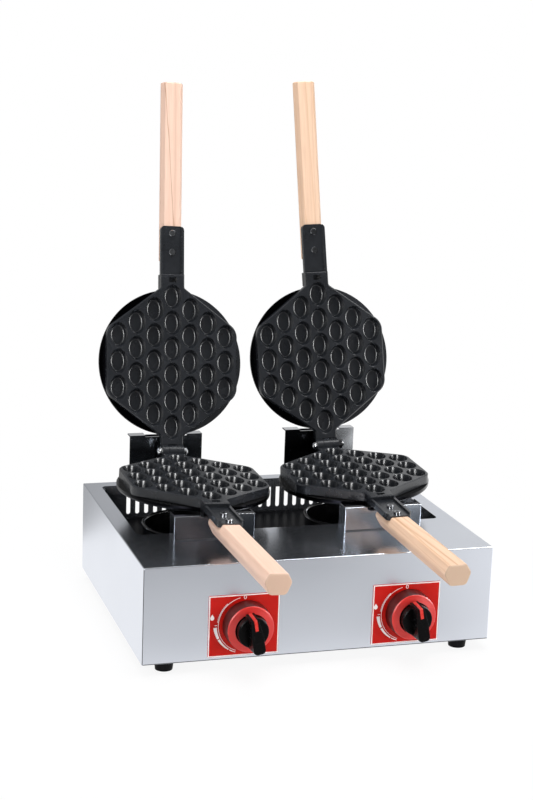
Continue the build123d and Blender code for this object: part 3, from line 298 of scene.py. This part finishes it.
# shadeStart and shadeEnd are distances from the outer face, between which the painted shade sets in and ends;
# shadeSides are places along X where it fades out
coatingLook = {"grainScale": 1500.0, "cloudScale": 22.0, "dark": (0.010, 0.0115, 0.0145),
               "light": (0.017, 0.019, 0.023), "metal": 0.0, "specular": 0.5, "smooth": 0.25, "rough": 0.29,
               "bump": 0.015, "shadeStart": (0.001, 0.003), "shadeEnd": (0.0074, 0.0084),
               "paintedShadeColour": (0.004, 0.004, 0.005)}
shadeSides = {"left": (-0.14, -0.08), "right": (0.09, 0.15)}
finishes = {
    "stainless_sheet": sheetSteel("casingSteel", steelLook),
    "stainless_panel": sheetSteel("panelSteel", steelLook),
    "bracket_sheet": sheetSteel("bracketSteel", bracketLook),
    "base_sheet": sheetSteel("zincSheet", zincLook),
    "burner_iron": castMetal("burnerIron", {
        "grainScale": 700.0, "cloudScale": 30.0, "dark": (0.03, 0.03, 0.03), "light": (0.07, 0.065, 0.06),
        "metal": 0.6, "specular": 0.5, "smooth": 0.5, "rough": 0.7, "bump": 0.4}),
    "dark_tray": castMetal("trayEnamel", {
        "grainScale": 300.0, "cloudScale": 15.0, "dark": (0.003, 0.003, 0.004),
        "light": (0.007, 0.007, 0.008), "metal": 0.0, "specular": 0.02, "smooth": 0.25, "rough": 0.4,
        "bump": 0.05}),
    "dark_collar": castMetal("collarEnamel", {
        "grainScale": 400.0, "cloudScale": 25.0, "dark": (0.004, 0.004, 0.005),
        "light": (0.010, 0.010, 0.011), "metal": 0.0, "specular": 0.5, "smooth": 0.12, "rough": 0.22,
        "bump": 0.05}),
    "valve_brass": castMetal("valveBrass", {
        "grainScale": 500.0, "cloudScale": 40.0, "dark": (0.55, 0.38, 0.16), "light": (0.68, 0.50, 0.24),
        "metal": 1.0, "specular": 0.5, "smooth": 0.22, "rough": 0.38, "bump": 0.06}),
    "pipe_steel": castMetal("pipeSteel", {
        "grainScale": 500.0, "cloudScale": 30.0, "dark": (0.40, 0.41, 0.43), "light": (0.55, 0.56, 0.58),
        "metal": 1.0, "specular": 0.5, "smooth": 0.3, "rough": 0.45, "bump": 0.05}),
    "screw_steel": castMetal("screwZinc", {
        "grainScale": 600.0, "cloudScale": 90.0, "dark": (0.50, 0.51, 0.53), "light": (0.68, 0.69, 0.70),
        "metal": 1.0, "specular": 0.5, "smooth": 0.18, "rough": 0.32, "bump": 0.03}),
    "stem_steel": castMetal("stemSteel", {
        "grainScale": 600.0, "cloudScale": 90.0, "dark": (0.50, 0.51, 0.53), "light": (0.62, 0.63, 0.65),
        "metal": 1.0, "specular": 0.5, "smooth": 0.2, "rough": 0.3, "bump": 0.03}),
    "bolt_chrome": castMetal("boltChrome", {
        "grainScale": 600.0, "cloudScale": 90.0, "dark": (0.70, 0.71, 0.73), "light": (0.80, 0.81, 0.82),
        "metal": 1.0, "specular": 0.5, "smooth": 0.08, "rough": 0.15, "bump": 0.02}),
    "nut_dark": castMetal("nutBlackened", {
        "grainScale": 600.0, "cloudScale": 60.0, "dark": (0.02, 0.02, 0.022), "light": (0.05, 0.05, 0.055),
        "metal": 0.8, "specular": 0.5, "smooth": 0.25, "rough": 0.4, "bump": 0.05}),
    "dark_screw": castMetal("screwBlackened", {
        "grainScale": 600.0, "cloudScale": 60.0, "dark": (0.30, 0.31, 0.33), "light": (0.40, 0.41, 0.43),
        "metal": 1.0, "specular": 0.5, "smooth": 0.1, "rough": 0.2, "bump": 0.02}),
    "foot_rubber": mouldedPlastic("footRubber", {
        "dark": (0.003, 0.003, 0.004), "light": (0.006, 0.006, 0.007), "smooth": 0.45, "rough": 0.6,
        "specular": 0.08, "coat": 0.0, "bump": 0.3}),
    "lead_rubber": mouldedPlastic("leadRubber", {
        "dark": (0.25, 0.02, 0.015), "light": (0.3, 0.03, 0.02), "smooth": 0.4, "rough": 0.55,
        "specular": 0.3, "coat": 0.0, "bump": 0.1}),
    "dial_red": mouldedPlastic("dialRed", {
        "dark": (0.50, 0.007, 0.004), "light": (0.54, 0.010, 0.005), "smooth": 0.20, "rough": 0.28,
        "specular": 0.15, "coat": 0.0, "bump": 0.02}),
    "bezel_red": mouldedPlastic("bezelRed", {
        # the bezel's flank carries painted shade, as if the light came from the right
        "dark": (0.62, 0.012, 0.008), "light": (0.68, 0.016, 0.010), "paintedFlankShade": (0.06, 0.001, 0.001),
        "smooth": 0.30, "rough": 0.34, "specular": 0.6, "coat": 0.0, "bump": 0.005}),
    "pointer_red": mouldedPlastic("pointerRed", {
        "dark": (0.62, 0.02, 0.012), "light": (0.7, 0.03, 0.02), "smooth": 0.25, "rough": 0.35,
        "specular": 0.3, "coat": 0.1, "bump": 0.02}),
    "knob_black": mouldedPlastic("knobBlack", {
        "dark": (0.001, 0.001, 0.0011), "light": (0.002, 0.002, 0.0022), "smooth": 0.22, "rough": 0.32,
        "specular": 0.10, "coat": 0.0, "bump": 0.04}),
    "electrode_ceramic": mouldedPlastic("electrodeCeramic", {
        "dark": (0.7, 0.68, 0.62), "light": (0.8, 0.78, 0.72), "smooth": 0.2, "rough": 0.3,
        "specular": 0.5, "coat": 0.2, "bump": 0.02}),
}
# brackets given a darker sheet as painted dark reflection, in place of the right front one's plain sheet; the
# right rear one also gets a painted bright reflection along X
otherBrackets = {"left_front_bracket": sheetSteel("frontBracketSteel", paintedDarkBracketLook),
                 "left_rear_bracket": sheetSteel("rearBracketSteel", paintedDarkBracketLook),
                 "right_rear_bracket": sheetSteel("shadedBracketSteel", paintedReflectionBracketLook)}
ink = mouldedPlastic("dialInk", {
    "dark": (0.86, 0.80, 0.78), "light": (0.93, 0.90, 0.89), "smooth": 0.4, "rough": 0.5, "specular": 0.3,
    "coat": 0.0, "bump": 0.02})
# painted shade for the seam strips
seamShade = castMetal("seamShadow", {
    "grainScale": 500.0, "cloudScale": 80.0, "dark": (0.02, 0.02, 0.022), "light": (0.05, 0.05, 0.055),
    "metal": 0.0, "specular": 0.3, "smooth": 0.4, "rough": 0.6, "bump": 0.05})


steepest = 0.7        # an axis that rises more than this share of its length is taken as standing


# a handle's long axis from its mesh: the direction in which its vertices spread most, pointing from the
# tongue to the free end, and the side direction that lies level
def handleFrame(node):
    points = np.empty(len(node.data.vertices) * 3)
    node.data.vertices.foreach_get("co", points)
    points = points.reshape(-1, 3)
    middle = (points.min(0) + points.max(0)) / 2
    along = np.linalg.svd(points - points.mean(0), full_matrices=False)[2][0]
    along = along if along @ (0.0, -1.0, 1.0) > 0 else -along
    across = np.cross(along, (0.0, 0.0, 1.0) if abs(along[2]) < steepest else (0.0, 1.0, 0.0))
    across = across / np.linalg.norm(across)
    across = across if across[0] > 0 else -across
    up = np.cross(across, along)
    return middle, Matrix(np.column_stack((across, along, up)).tolist()).to_euler()


# stretches draw a pattern out along the handle; ends are distances before the free end, between which the
# darker end grain, together with its painted shade, sets in
woodGrain = {"ringStretch": 0.06, "fibreStretch": 0.03, "wanderScale": 22.0, "wanderDetail": 2.0,
             "wander": 0.006, "ringDistortion": 1.2, "ringDetail": 2.0, "ringDetailScale": 1.4,
             "earlyUntil": 0.75, "lateFrom": 0.95, "fibreScale": 900.0, "fibreDetail": 4.0,
             "fibreRoughness": 0.6, "broadScale": 120.0, "broadDetail": 3.0, "broadRange": (0.40, 0.75),
             "lineSway": 0.006,
             "fibreStops": [(0.35, (0.90, 0.87, 0.84)), (0.6, (1.0, 1.0, 1.0))], "fibreShare": 0.7,
             "ends": (0.0025, 0.001), "smooth": 0.42, "rough": 0.58, "specular": 0.3, "bump": 0.2,
             "bumpDepth": 0.0003}


# planed wood: growth rings round an axis off the handle's own, drawn out along it, with fibres and a few
# brown streaks, each at its own offset and slope
def handleWood(name, look, node):
    material, tree, shader = startMaterial(name)
    middle, turn = handleFrame(node)
    coords = addNode(tree, "ShaderNodeTexCoord")
    local = addNode(tree, "ShaderNodeMapping", {"vector_type": "TEXTURE"},
                    {"Location": tuple(middle), "Rotation": turn}, {"Vector": coords.outputs["Object"]})
    local = local.outputs["Vector"]
    ringScale = {"Scale": (1.0, woodGrain["ringStretch"], 1.0), "Location": look["ringShift"]}
    drawn = addNode(tree, "ShaderNodeMapping", {}, ringScale, {"Vector": local}).outputs["Vector"]
    wander = addNode(tree, "ShaderNodeTexNoise", {},
                     {"Scale": woodGrain["wanderScale"], "Detail": woodGrain["wanderDetail"]},
                     {"Vector": drawn}).outputs["Color"]
    swayed = addNode(tree, "ShaderNodeVectorMath", {"operation": "MULTIPLY_ADD"},
                     {1: (woodGrain["wander"],) * 3}, {0: wander, 2: drawn}).outputs["Vector"]
    rings = addNode(tree, "ShaderNodeTexWave",
                    {"wave_type": "RINGS", "rings_direction": "Y", "wave_profile": "SAW"},
                    {"Scale": look["ringScale"], "Distortion": woodGrain["ringDistortion"],
                     "Detail": woodGrain["ringDetail"], "Detail Scale": woodGrain["ringDetailScale"]},
                    {"Vector": swayed}).outputs["Fac"]
    fibrePoint = addNode(tree, "ShaderNodeMapping", {}, {"Scale": (1.0, woodGrain["fibreStretch"], 1.0)},
                         {"Vector": local}).outputs["Vector"]
    fibres = noiseOn(tree, fibrePoint, woodGrain["fibreScale"], woodGrain["fibreDetail"],
                     woodGrain["fibreRoughness"])
    broad = noiseOn(tree, fibrePoint, woodGrain["broadScale"], woodGrain["broadDetail"])
    colour = ramp(tree, rings, [(0.0, look["early"]), (woodGrain["earlyUntil"], look["early"]),
                                (woodGrain["lateFrom"], look["late"])])
    streaked = spread(tree, broad, 0.0, look["broad"], *woodGrain["broadRange"])
    colour = mixColours(tree, streaked, colour, look["streak"])
    axes = axesOf(tree, local)
    for offset, slope, width, depth in look["lines"]:
        # distance from a line that drifts across the handle, worn soft by the broad noise
        centre = calculate(tree, "MULTIPLY_ADD", axes["Y"], slope, offset)
        sway = calculate(tree, "MULTIPLY_ADD", broad, woodGrain["lineSway"], centre)
        away = calculate(tree, "ABSOLUTE", calculate(tree, "SUBTRACT", axes["X"], sway))
        colour = mixColours(tree, spread(tree, away, depth, 0.0, 0.0, width), colour, look["line"])
    colour = mixColours(tree, woodGrain["fibreShare"], colour, ramp(tree, fibres, woodGrain["fibreStops"]),
                        "MULTIPLY")
    # end grain soaks up more finish; the darker end face also carries painted shade
    endGrainAndShade = spread(tree, axes["Y"], 0.0, 1.0, *(look["end"] - before for before in woodGrain["ends"]))
    colour = mixColours(tree, endGrainAndShade, colour, look["endGrainAndShadeColour"])
    shader.inputs["Specular IOR Level"].default_value = woodGrain["specular"]
    dress(tree, shader, colour, spread(tree, fibres, woodGrain["smooth"], woodGrain["rough"]),
          bump(tree, fibres, woodGrain["bump"], woodGrain["bumpDepth"]))
    return material


# each line is its offset and slope across the handle, its half width and how strongly it shows
pinkWood = {"early": (0.86, 0.60, 0.475), "late": (0.83, 0.56, 0.43), "streak": (0.80, 0.51, 0.38),
            "line": (0.42, 0.20, 0.10), "ringShift": (0.031, 0.0, 0.012), "ringScale": 45.0, "broad": 0.25,
            "lines": [], "end": 0.139, "endGrainAndShadeColour": (0.62, 0.42, 0.31)}
yellowWood = dict(pinkWood, early=(0.86, 0.60, 0.43), late=(0.78, 0.51, 0.34), streak=(0.72, 0.46, 0.30),
                  line=(0.52, 0.28, 0.14), ringShift=(0.012, 0.0, 0.020), ringScale=60.0, broad=0.45,
                  endGrainAndShadeColour=(0.57, 0.40, 0.285))
woodLooks = {
    ("left", "lower"): pinkWood,
    ("left", "upper"): dict(pinkWood, lines=[(-0.006, -0.075, 0.0010, 0.75), (0.001, 0.0, 0.004, 0.2)]),
    ("right", "lower"): dict(yellowWood, lines=[(-0.009, 0.03, 0.0026, 0.7), (-0.012, -0.02, 0.0018, 0.6),
                                                (0.004, 0.05, 0.0022, 0.4), (0.009, -0.03, 0.0016, 0.35)]),
    ("right", "upper"): dict(yellowWood, lines=[(0.004, 0.01, 0.0012, 0.3), (0.0105, -0.01, 0.0026, 0.4),
                                                (-0.003, 0.0, 0.003, 0.15)]),
}


def coverWith(node, material):
    for slot in node.material_slots:
        slot.material = material


for node in nodes.values():
    for slot in node.material_slots:
        slot.material = finishes.get(slot.material.name.split(".")[0], slot.material)
for side in sides:
    # an upper mould's painted shade fades out towards +X
    upperLook = dict(coatingLook, shadeSide=shadeSides[side])
    for half, look in (("lower", coatingLook), ("upper", upperLook)):
        mould = nodes[f"{side}_{half}_mould"]
        coverWith(mould, castMetal(f"{side}{half.title()}Coating", look, mould))
for bracketName, material in otherBrackets.items():
    coverWith(nodes[bracketName], material)
for (side, half), look in woodLooks.items():
    handle = nodes[f"{side}_{half}_handle"]
    handle.material_slots[0].material = handleWood(f"{side}{half.title()}Wood", look, handle)
print("materials made")


# a strip between two lines of the front plane, given as arrays of (x, z) in millimetres: the four corners of
# its section stand at every station, and the stations are joined in order; a closed strip joins the last to
# the first, an open one gets two end faces
def plateStrip(inner, outer, face, proud, closed=False):
    inner, outer = np.asarray(inner, float), np.asarray(outer, float)
    count = len(inner)
    flat = np.stack([inner, outer, outer, inner], axis=1)
    points = np.empty((count, 4, 3))
    points[:, :, 0] = flat[:, :, 0]
    points[:, :, 1] = np.array([face - proud, face - proud, face, face])
    points[:, :, 2] = flat[:, :, 1]
    station = np.arange(count if closed else count - 1)
    corner = np.arange(4)
    onward = (corner + 1) % 4
    here = station[:, None] * 4
    after = (station[:, None] + 1) % count * 4
    quads = np.stack([here + corner, here + onward, after + onward, after + corner], axis=2).reshape(-1, 4)
    if not closed:
        last = (count - 1) * 4
        quads = np.vstack([quads, [[3, 2, 1, 0], [last, last + 1, last + 2, last + 3]]])
    return points.reshape(-1, 3), quads


# several closed surfaces as one mesh object that rides on a body
def pieceFrom(name, surfaces, material, body):
    points, quads, start = [], [], 0
    for surfacePoints, surfaceQuads in surfaces:
        points.append(surfacePoints)
        quads.append(surfaceQuads + start)
        start += len(surfacePoints)
    mesh = bpy.data.meshes.new(name)
    mesh.from_pydata((np.vstack(points) * mm).tolist(), [], np.vstack(quads).tolist())
    work = bmesh.new()
    work.from_mesh(mesh)
    bmesh.ops.recalc_face_normals(work, faces=work.faces)
    work.to_mesh(mesh)
    work.free()
    piece = bpy.data.objects.new(name, mesh)
    bpy.context.scene.collection.objects.link(piece)
    mesh.materials.append(material)
    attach(piece, body)


# arc, hatch, tick and wedge hold two angles in degrees about the knob, the inner and the outer radius; hatch
# adds its number of lines and wedge its outer radius at the second angle; drop and zero hold their place from
# the knob's middle, their width and their height, and zero adds its stroke
dialLook = {"face": -174.8994, "proud": 0.15, "lift": 0.02,
            "centres": {"left": (-107.45, 64.5), "right": (125.75, 63.4)},
            "plates": {"left": (-110.55, 63.6), "right": (123.15, 63.6)}, "plate": (99.0, 86.5), "edge": 0.25,
            "border": 1.4, "arc": (104, 249, 38.6, 39.3), "hatch": (132, 172, 39.3, 40.9, 19),
            "hatchHalf": 0.6, "tick": (178.4, 179.6, 40.4, 44.0), "wedge": (183, 250, 40.9, 45.6, 41.6),
            "wedgeCuts": [(183, 205.5), (207.5, 235.5), (237.5, 250)], "arcSteps": 48, "markSteps": 3,
            "drop": (-47.6, 12.6, 5.6, 8.6), "dropSteps": 25, "dropWidest": 0.62, "dropPower": 1.5,
            "dropTip": 0.02, "zero": (-2.4, 38.4, 4.0, 5.6, 0.75), "zeroSteps": 32}


# arc from one angle to another about the knob: points at centre + radius * (cos, sin)
def arcPoints(start, end, radius, centre, count):
    angle = np.radians(np.linspace(start, end, count))
    radius = np.broadcast_to(radius, count)
    return np.stack([centre[0] + radius * np.cos(angle), centre[1] + radius * np.sin(angle)], axis=1)


# the wedge's outer radius falls evenly from its wide start to its end
def wedgeRadius(start, end, look):
    begin, finish, inner, wide, narrow = look["wedge"]
    share = (np.linspace(start, end, look["arcSteps"]) - begin) / (finish - begin)
    return wide + (narrow - wide) * share


# the light print of one dial plate: a border between two rectangles, then the arc, the hatching, the tick and
# the wedge's parts, each between two radii, a drop and a zero
def dialPrint(side, look):
    centre, plate = look["centres"][side], look["plates"][side]
    half = np.array(look["plate"]) / 2 - look["edge"]
    corners = np.array([(-1, -1), (1, -1), (1, 1), (-1, 1)], float)
    marks = [(corners * (half - look["border"]) + plate, corners * half + plate, True)]
    arcs = [(*look["arc"], look["arcSteps"])]
    start, end, inner, outer, count = look["hatch"]
    for place in np.linspace(start, end, count):
        arcs.append((place - look["hatchHalf"], place + look["hatchHalf"], inner, outer, look["markSteps"]))
    arcs.append((*look["tick"], look["markSteps"]))
    for start, end in look["wedgeCuts"]:
        arcs.append((start, end, look["wedge"][2], wedgeRadius(start, end, look), look["arcSteps"]))
    for start, end, inner, outer, count in arcs:
        marks.append((arcPoints(start, end, inner, centre, count),
                      arcPoints(start, end, outer, centre, count), False))
    # drop: half width grows as a sine from the tip and closes as a quarter circle at the foot
    dropX, dropZ, width, height = look["drop"]
    share, widest = np.linspace(0.0, 1.0, look["dropSteps"]), look["dropWidest"]
    swell = np.where(share < widest, np.sin(share / widest * math.pi / 2) ** look["dropPower"],
                     np.sqrt(np.clip(1 - ((share - widest) / (1 - widest)) ** 2, 0, 1)))
    reach = width / 2 * np.maximum(swell, look["dropTip"])
    level = centre[1] + dropZ + height / 2 - share * height
    marks.append((np.stack([centre[0] + dropX - reach, level], axis=1),
                  np.stack([centre[0] + dropX + reach, level], axis=1), False))
    # zero mark: the ring between two ellipses
    zeroX, zeroZ, width, height, stroke = look["zero"]
    turn = np.linspace(0, 2 * math.pi, look["zeroSteps"], endpoint=False)
    ring = np.stack([np.cos(turn), np.sin(turn)], axis=1)
    middle = np.array([centre[0] + zeroX, centre[1] + zeroZ])
    marks.append((middle + ring * (width / 2 - stroke, height / 2 - stroke),
                  middle + ring * (width / 2, height / 2), True))
    face = look["face"] + look["lift"]
    strips = [plateStrip(inner, outer, face, look["proud"], closed) for inner, outer, closed in marks]
    pieceFrom(f"{side}_dial_print", strips, ink, "root")


for side in sides:
    dialPrint(side, dialLook)
print("dial prints made")


# dark strips of painted shade where the folded sheet's joints show dark, at the casing's left front corner
# and its lower edge, and painted shadow at the feet of the two front brackets; each is a box given by its two
# ends in x, its two ends in z and its plane
seamLook = {"proud": 0.12,
            "casing": [(-250.0, -249.1, 17.0, 150.0, -173.9), (-249.0, 249.0, 16.2, 17.1, -173.9)],
            "brackets": [(-182.0, -68.0, 151.7, 153.3, -66.9), (68.0, 182.0, 151.7, 153.1, -66.9)]}
for part in ("casing", "brackets"):
    seams = [plateStrip([(left, low), (right, low)], [(left, high), (right, high)], plane, seamLook["proud"])
             for left, right, low, high, plane in seamLook[part]]
    pieceFrom(f"{part}_seams", seams, seamShade, "root")
print("seams made")


# depths are places along Y and the level that metal sees there; edge is where the level behind takes over
stageLook = {"half": 9.0, "colour": (0.86, 0.86, 0.86), "rough": 0.9, "nearShare": 0.88, "near": 0.25,
             "far": 0.8, "depths": [(-1.4, 0.18), (-0.9, 0.40), (-0.3, 0.70), (-0.1, 1.0), (0.6, 1.0)],
             "rightLift": 0.40, "liftFrom": 0.22, "liftTo": 0.45, "behind": 0.40, "spreadSlope": -1.33,
             "edge": (0.04, 0.09)}


# a large flat square on the table plane: the camera sees it fade towards white away from the object; metal
# sees it white, darker towards the front of the room, lighter at the right and grey in a wedge behind
def makeFloor(look):
    half = look["half"]
    corners = [(-half, -half, 0), (half, -half, 0), (half, half, 0), (-half, half, 0)]
    mesh = bpy.data.meshes.new("floor")
    mesh.from_pydata(corners, [], [(0, 1, 2, 3)])
    floor = bpy.data.objects.new("floor", mesh)
    bpy.context.scene.collection.objects.link(floor)
    material, tree, shader = startMaterial("paleFloor")
    shader.inputs["Base Color"].default_value = (*look["colour"], 1)
    shader.inputs["Roughness"].default_value = look["rough"]
    shader.inputs["Specular IOR Level"].default_value = 0.0
    place = objectPoint(tree)
    axes = axesOf(tree, place)
    level = look["depths"][0][1]
    for (here, low), (after, high) in zip(look["depths"], look["depths"][1:]):
        level = calculate(tree, "ADD", level, spread(tree, axes["Y"], 0.0, high - low, here, after))
    lifted = spread(tree, axes["X"], 0.0, look["rightLift"], look["liftFrom"], look["liftTo"])
    level = calculate(tree, "ADD", level, lifted)
    aside = calculate(tree, "ABSOLUTE", axes["X"])
    past = calculate(tree, "MULTIPLY_ADD", aside, look["spreadSlope"], axes["Y"])
    level = mixNumbers(tree, spread(tree, past, 0.0, 1.0, *look["edge"]), level, look["behind"])
    direct, glossy = raysSeen(tree)
    length = addNode(tree, "ShaderNodeVectorMath", {"operation": "LENGTH"}, {}, {0: place}).outputs["Value"]
    fade = spread(tree, length, look["nearShare"], 1.0, look["near"], look["far"])
    share = calculate(tree, "MULTIPLY", direct, fade)
    seen = mixShaders(tree, share, shader.outputs[0], whiteLight(tree, "ShaderNodeEmission", 1.0))
    seen = mixShaders(tree, glossy, seen, whiteLight(tree, "ShaderNodeEmission", level))
    tree.links.new(seen, tree.nodes["Material Output"].inputs["Surface"])
    mesh.materials.append(material)


makeFloor(stageLook)

# metal's level goes from dark at darkAt to 1 at lightAt along Y + lift * Z, times left at cardFrom to right
# at cardTo along X
worldLook = {"ambient": (0.93, 0.96, 1.0), "strength": 0.36, "dark": 0.10, "darkAt": -0.80, "lightAt": 0.15,
             "lift": 0.6, "left": 0.40, "right": 0.84, "cardFrom": 0.15, "cardTo": 0.38}


# the camera sees plain white; metal sees the room light behind to the right, greyer to the left and dark in
# front at table height
def makeWorld(look):
    world = bpy.data.worlds.new("studio")
    bpy.context.scene.world = world
    world.use_nodes = True
    tree = world.node_tree
    background = tree.nodes["Background"]
    background.inputs["Color"].default_value = (*look["ambient"], 1)
    background.inputs["Strength"].default_value = look["strength"]
    toward = axesOf(tree, addNode(tree, "ShaderNodeTexCoord").outputs["Generated"])
    measure = calculate(tree, "MULTIPLY_ADD", toward["Z"], look["lift"], toward["Y"])
    card = spread(tree, toward["X"], look["left"], look["right"], look["cardFrom"], look["cardTo"])
    level = spread(tree, measure, look["dark"], 1.0, look["darkAt"], look["lightAt"])
    room = whiteLight(tree, "ShaderNodeBackground", calculate(tree, "MULTIPLY", level, card))
    direct, glossy = raysSeen(tree)
    seen = mixShaders(tree, glossy, background.outputs[0], room)
    seen = mixShaders(tree, direct, seen, whiteLight(tree, "ShaderNodeBackground", 1.0))
    tree.links.new(seen, tree.nodes["World Output"].inputs["Surface"])


makeWorld(worldLook)

# a light kept for gloss lights nothing and is only mirrored, one kept for diffuse is never mirrored
lightLooks = {
    "keySoftbox": {"place": (1.5, -2.3, 0.45), "aim": (0, -0.1, 0.15), "size": (0.6, 0.6), "power": 27,
                   "kept": "diffuse"},
    "leftSoftbox": {"place": (-1.9, -1.0, 1.9), "aim": (0, 0.05, 0.3), "size": (1.1, 1.1), "power": 15,
                    "kept": "both"},
    "topSoftbox": {"place": (0.1, 0.1, 2.8), "aim": (0, 0.05, 0.3), "size": (2.2, 2.2), "power": 78,
                   "kept": "diffuse"},
    "topCard": {"place": (1.55, 0.1, 2.6), "aim": (0, 0.05, 0.3), "size": (1.1, 1.6), "power": 60,
                "kept": "gloss"},
    "leftStrip": {"place": (-1.54, -1.97, 0.85), "aim": (0, 0.0, 0.2), "size": (0.75, 1.1), "power": 72,
                  "kept": "gloss"},
    "rightStrip": {"place": (2.1, -1.35, 0.75), "aim": (0, 0.0, 0.2), "size": (0.75, 1.1), "power": 72,
                   "kept": "gloss"},
}


# a soft rectangular light that faces its aim
def areaLight(name, look):
    data = bpy.data.lights.new(name, "AREA")
    data.shape = "RECTANGLE"
    data.size, data.size_y = look["size"]
    data.energy = look["power"]
    light = bpy.data.objects.new(name, data)
    light.visible_diffuse = look["kept"] != "gloss"
    light.visible_glossy = look["kept"] != "diffuse"
    bpy.context.scene.collection.objects.link(light)
    turn = (Vector(look["aim"]) - Vector(look["place"])).to_track_quat("-Z", "Y")
    light.matrix_world = Matrix.Translation(look["place"]) @ turn.to_matrix().to_4x4()


for lightName, look in lightLooks.items():
    areaLight(lightName, look)

cameraLook = {"place": (-0.73367, -2.23242, 0.86328), "azimuth": -17.371, "elevation": 12.803, "roll": 2.049,
              "lens": 76.02, "sensor": 36.0}
cameraData = bpy.data.cameras.new("camera")
cameraData.lens = cameraLook["lens"]
cameraData.sensor_width = cameraLook["sensor"]
cameraData.sensor_fit = "AUTO"
camera = bpy.data.objects.new("camera", cameraData)
bpy.context.scene.collection.objects.link(camera)
camera.matrix_world = (Matrix.Translation(cameraLook["place"])
                       @ Matrix.Rotation(math.radians(cameraLook["azimuth"]), 4, "Z")
                       @ Matrix.Rotation(math.radians(90 - cameraLook["elevation"]), 4, "X")
                       @ Matrix.Rotation(math.radians(cameraLook["roll"]), 4, "Z"))
bpy.context.scene.camera = camera
bpy.context.scene.view_settings.view_transform = "Standard"
print("stage set")
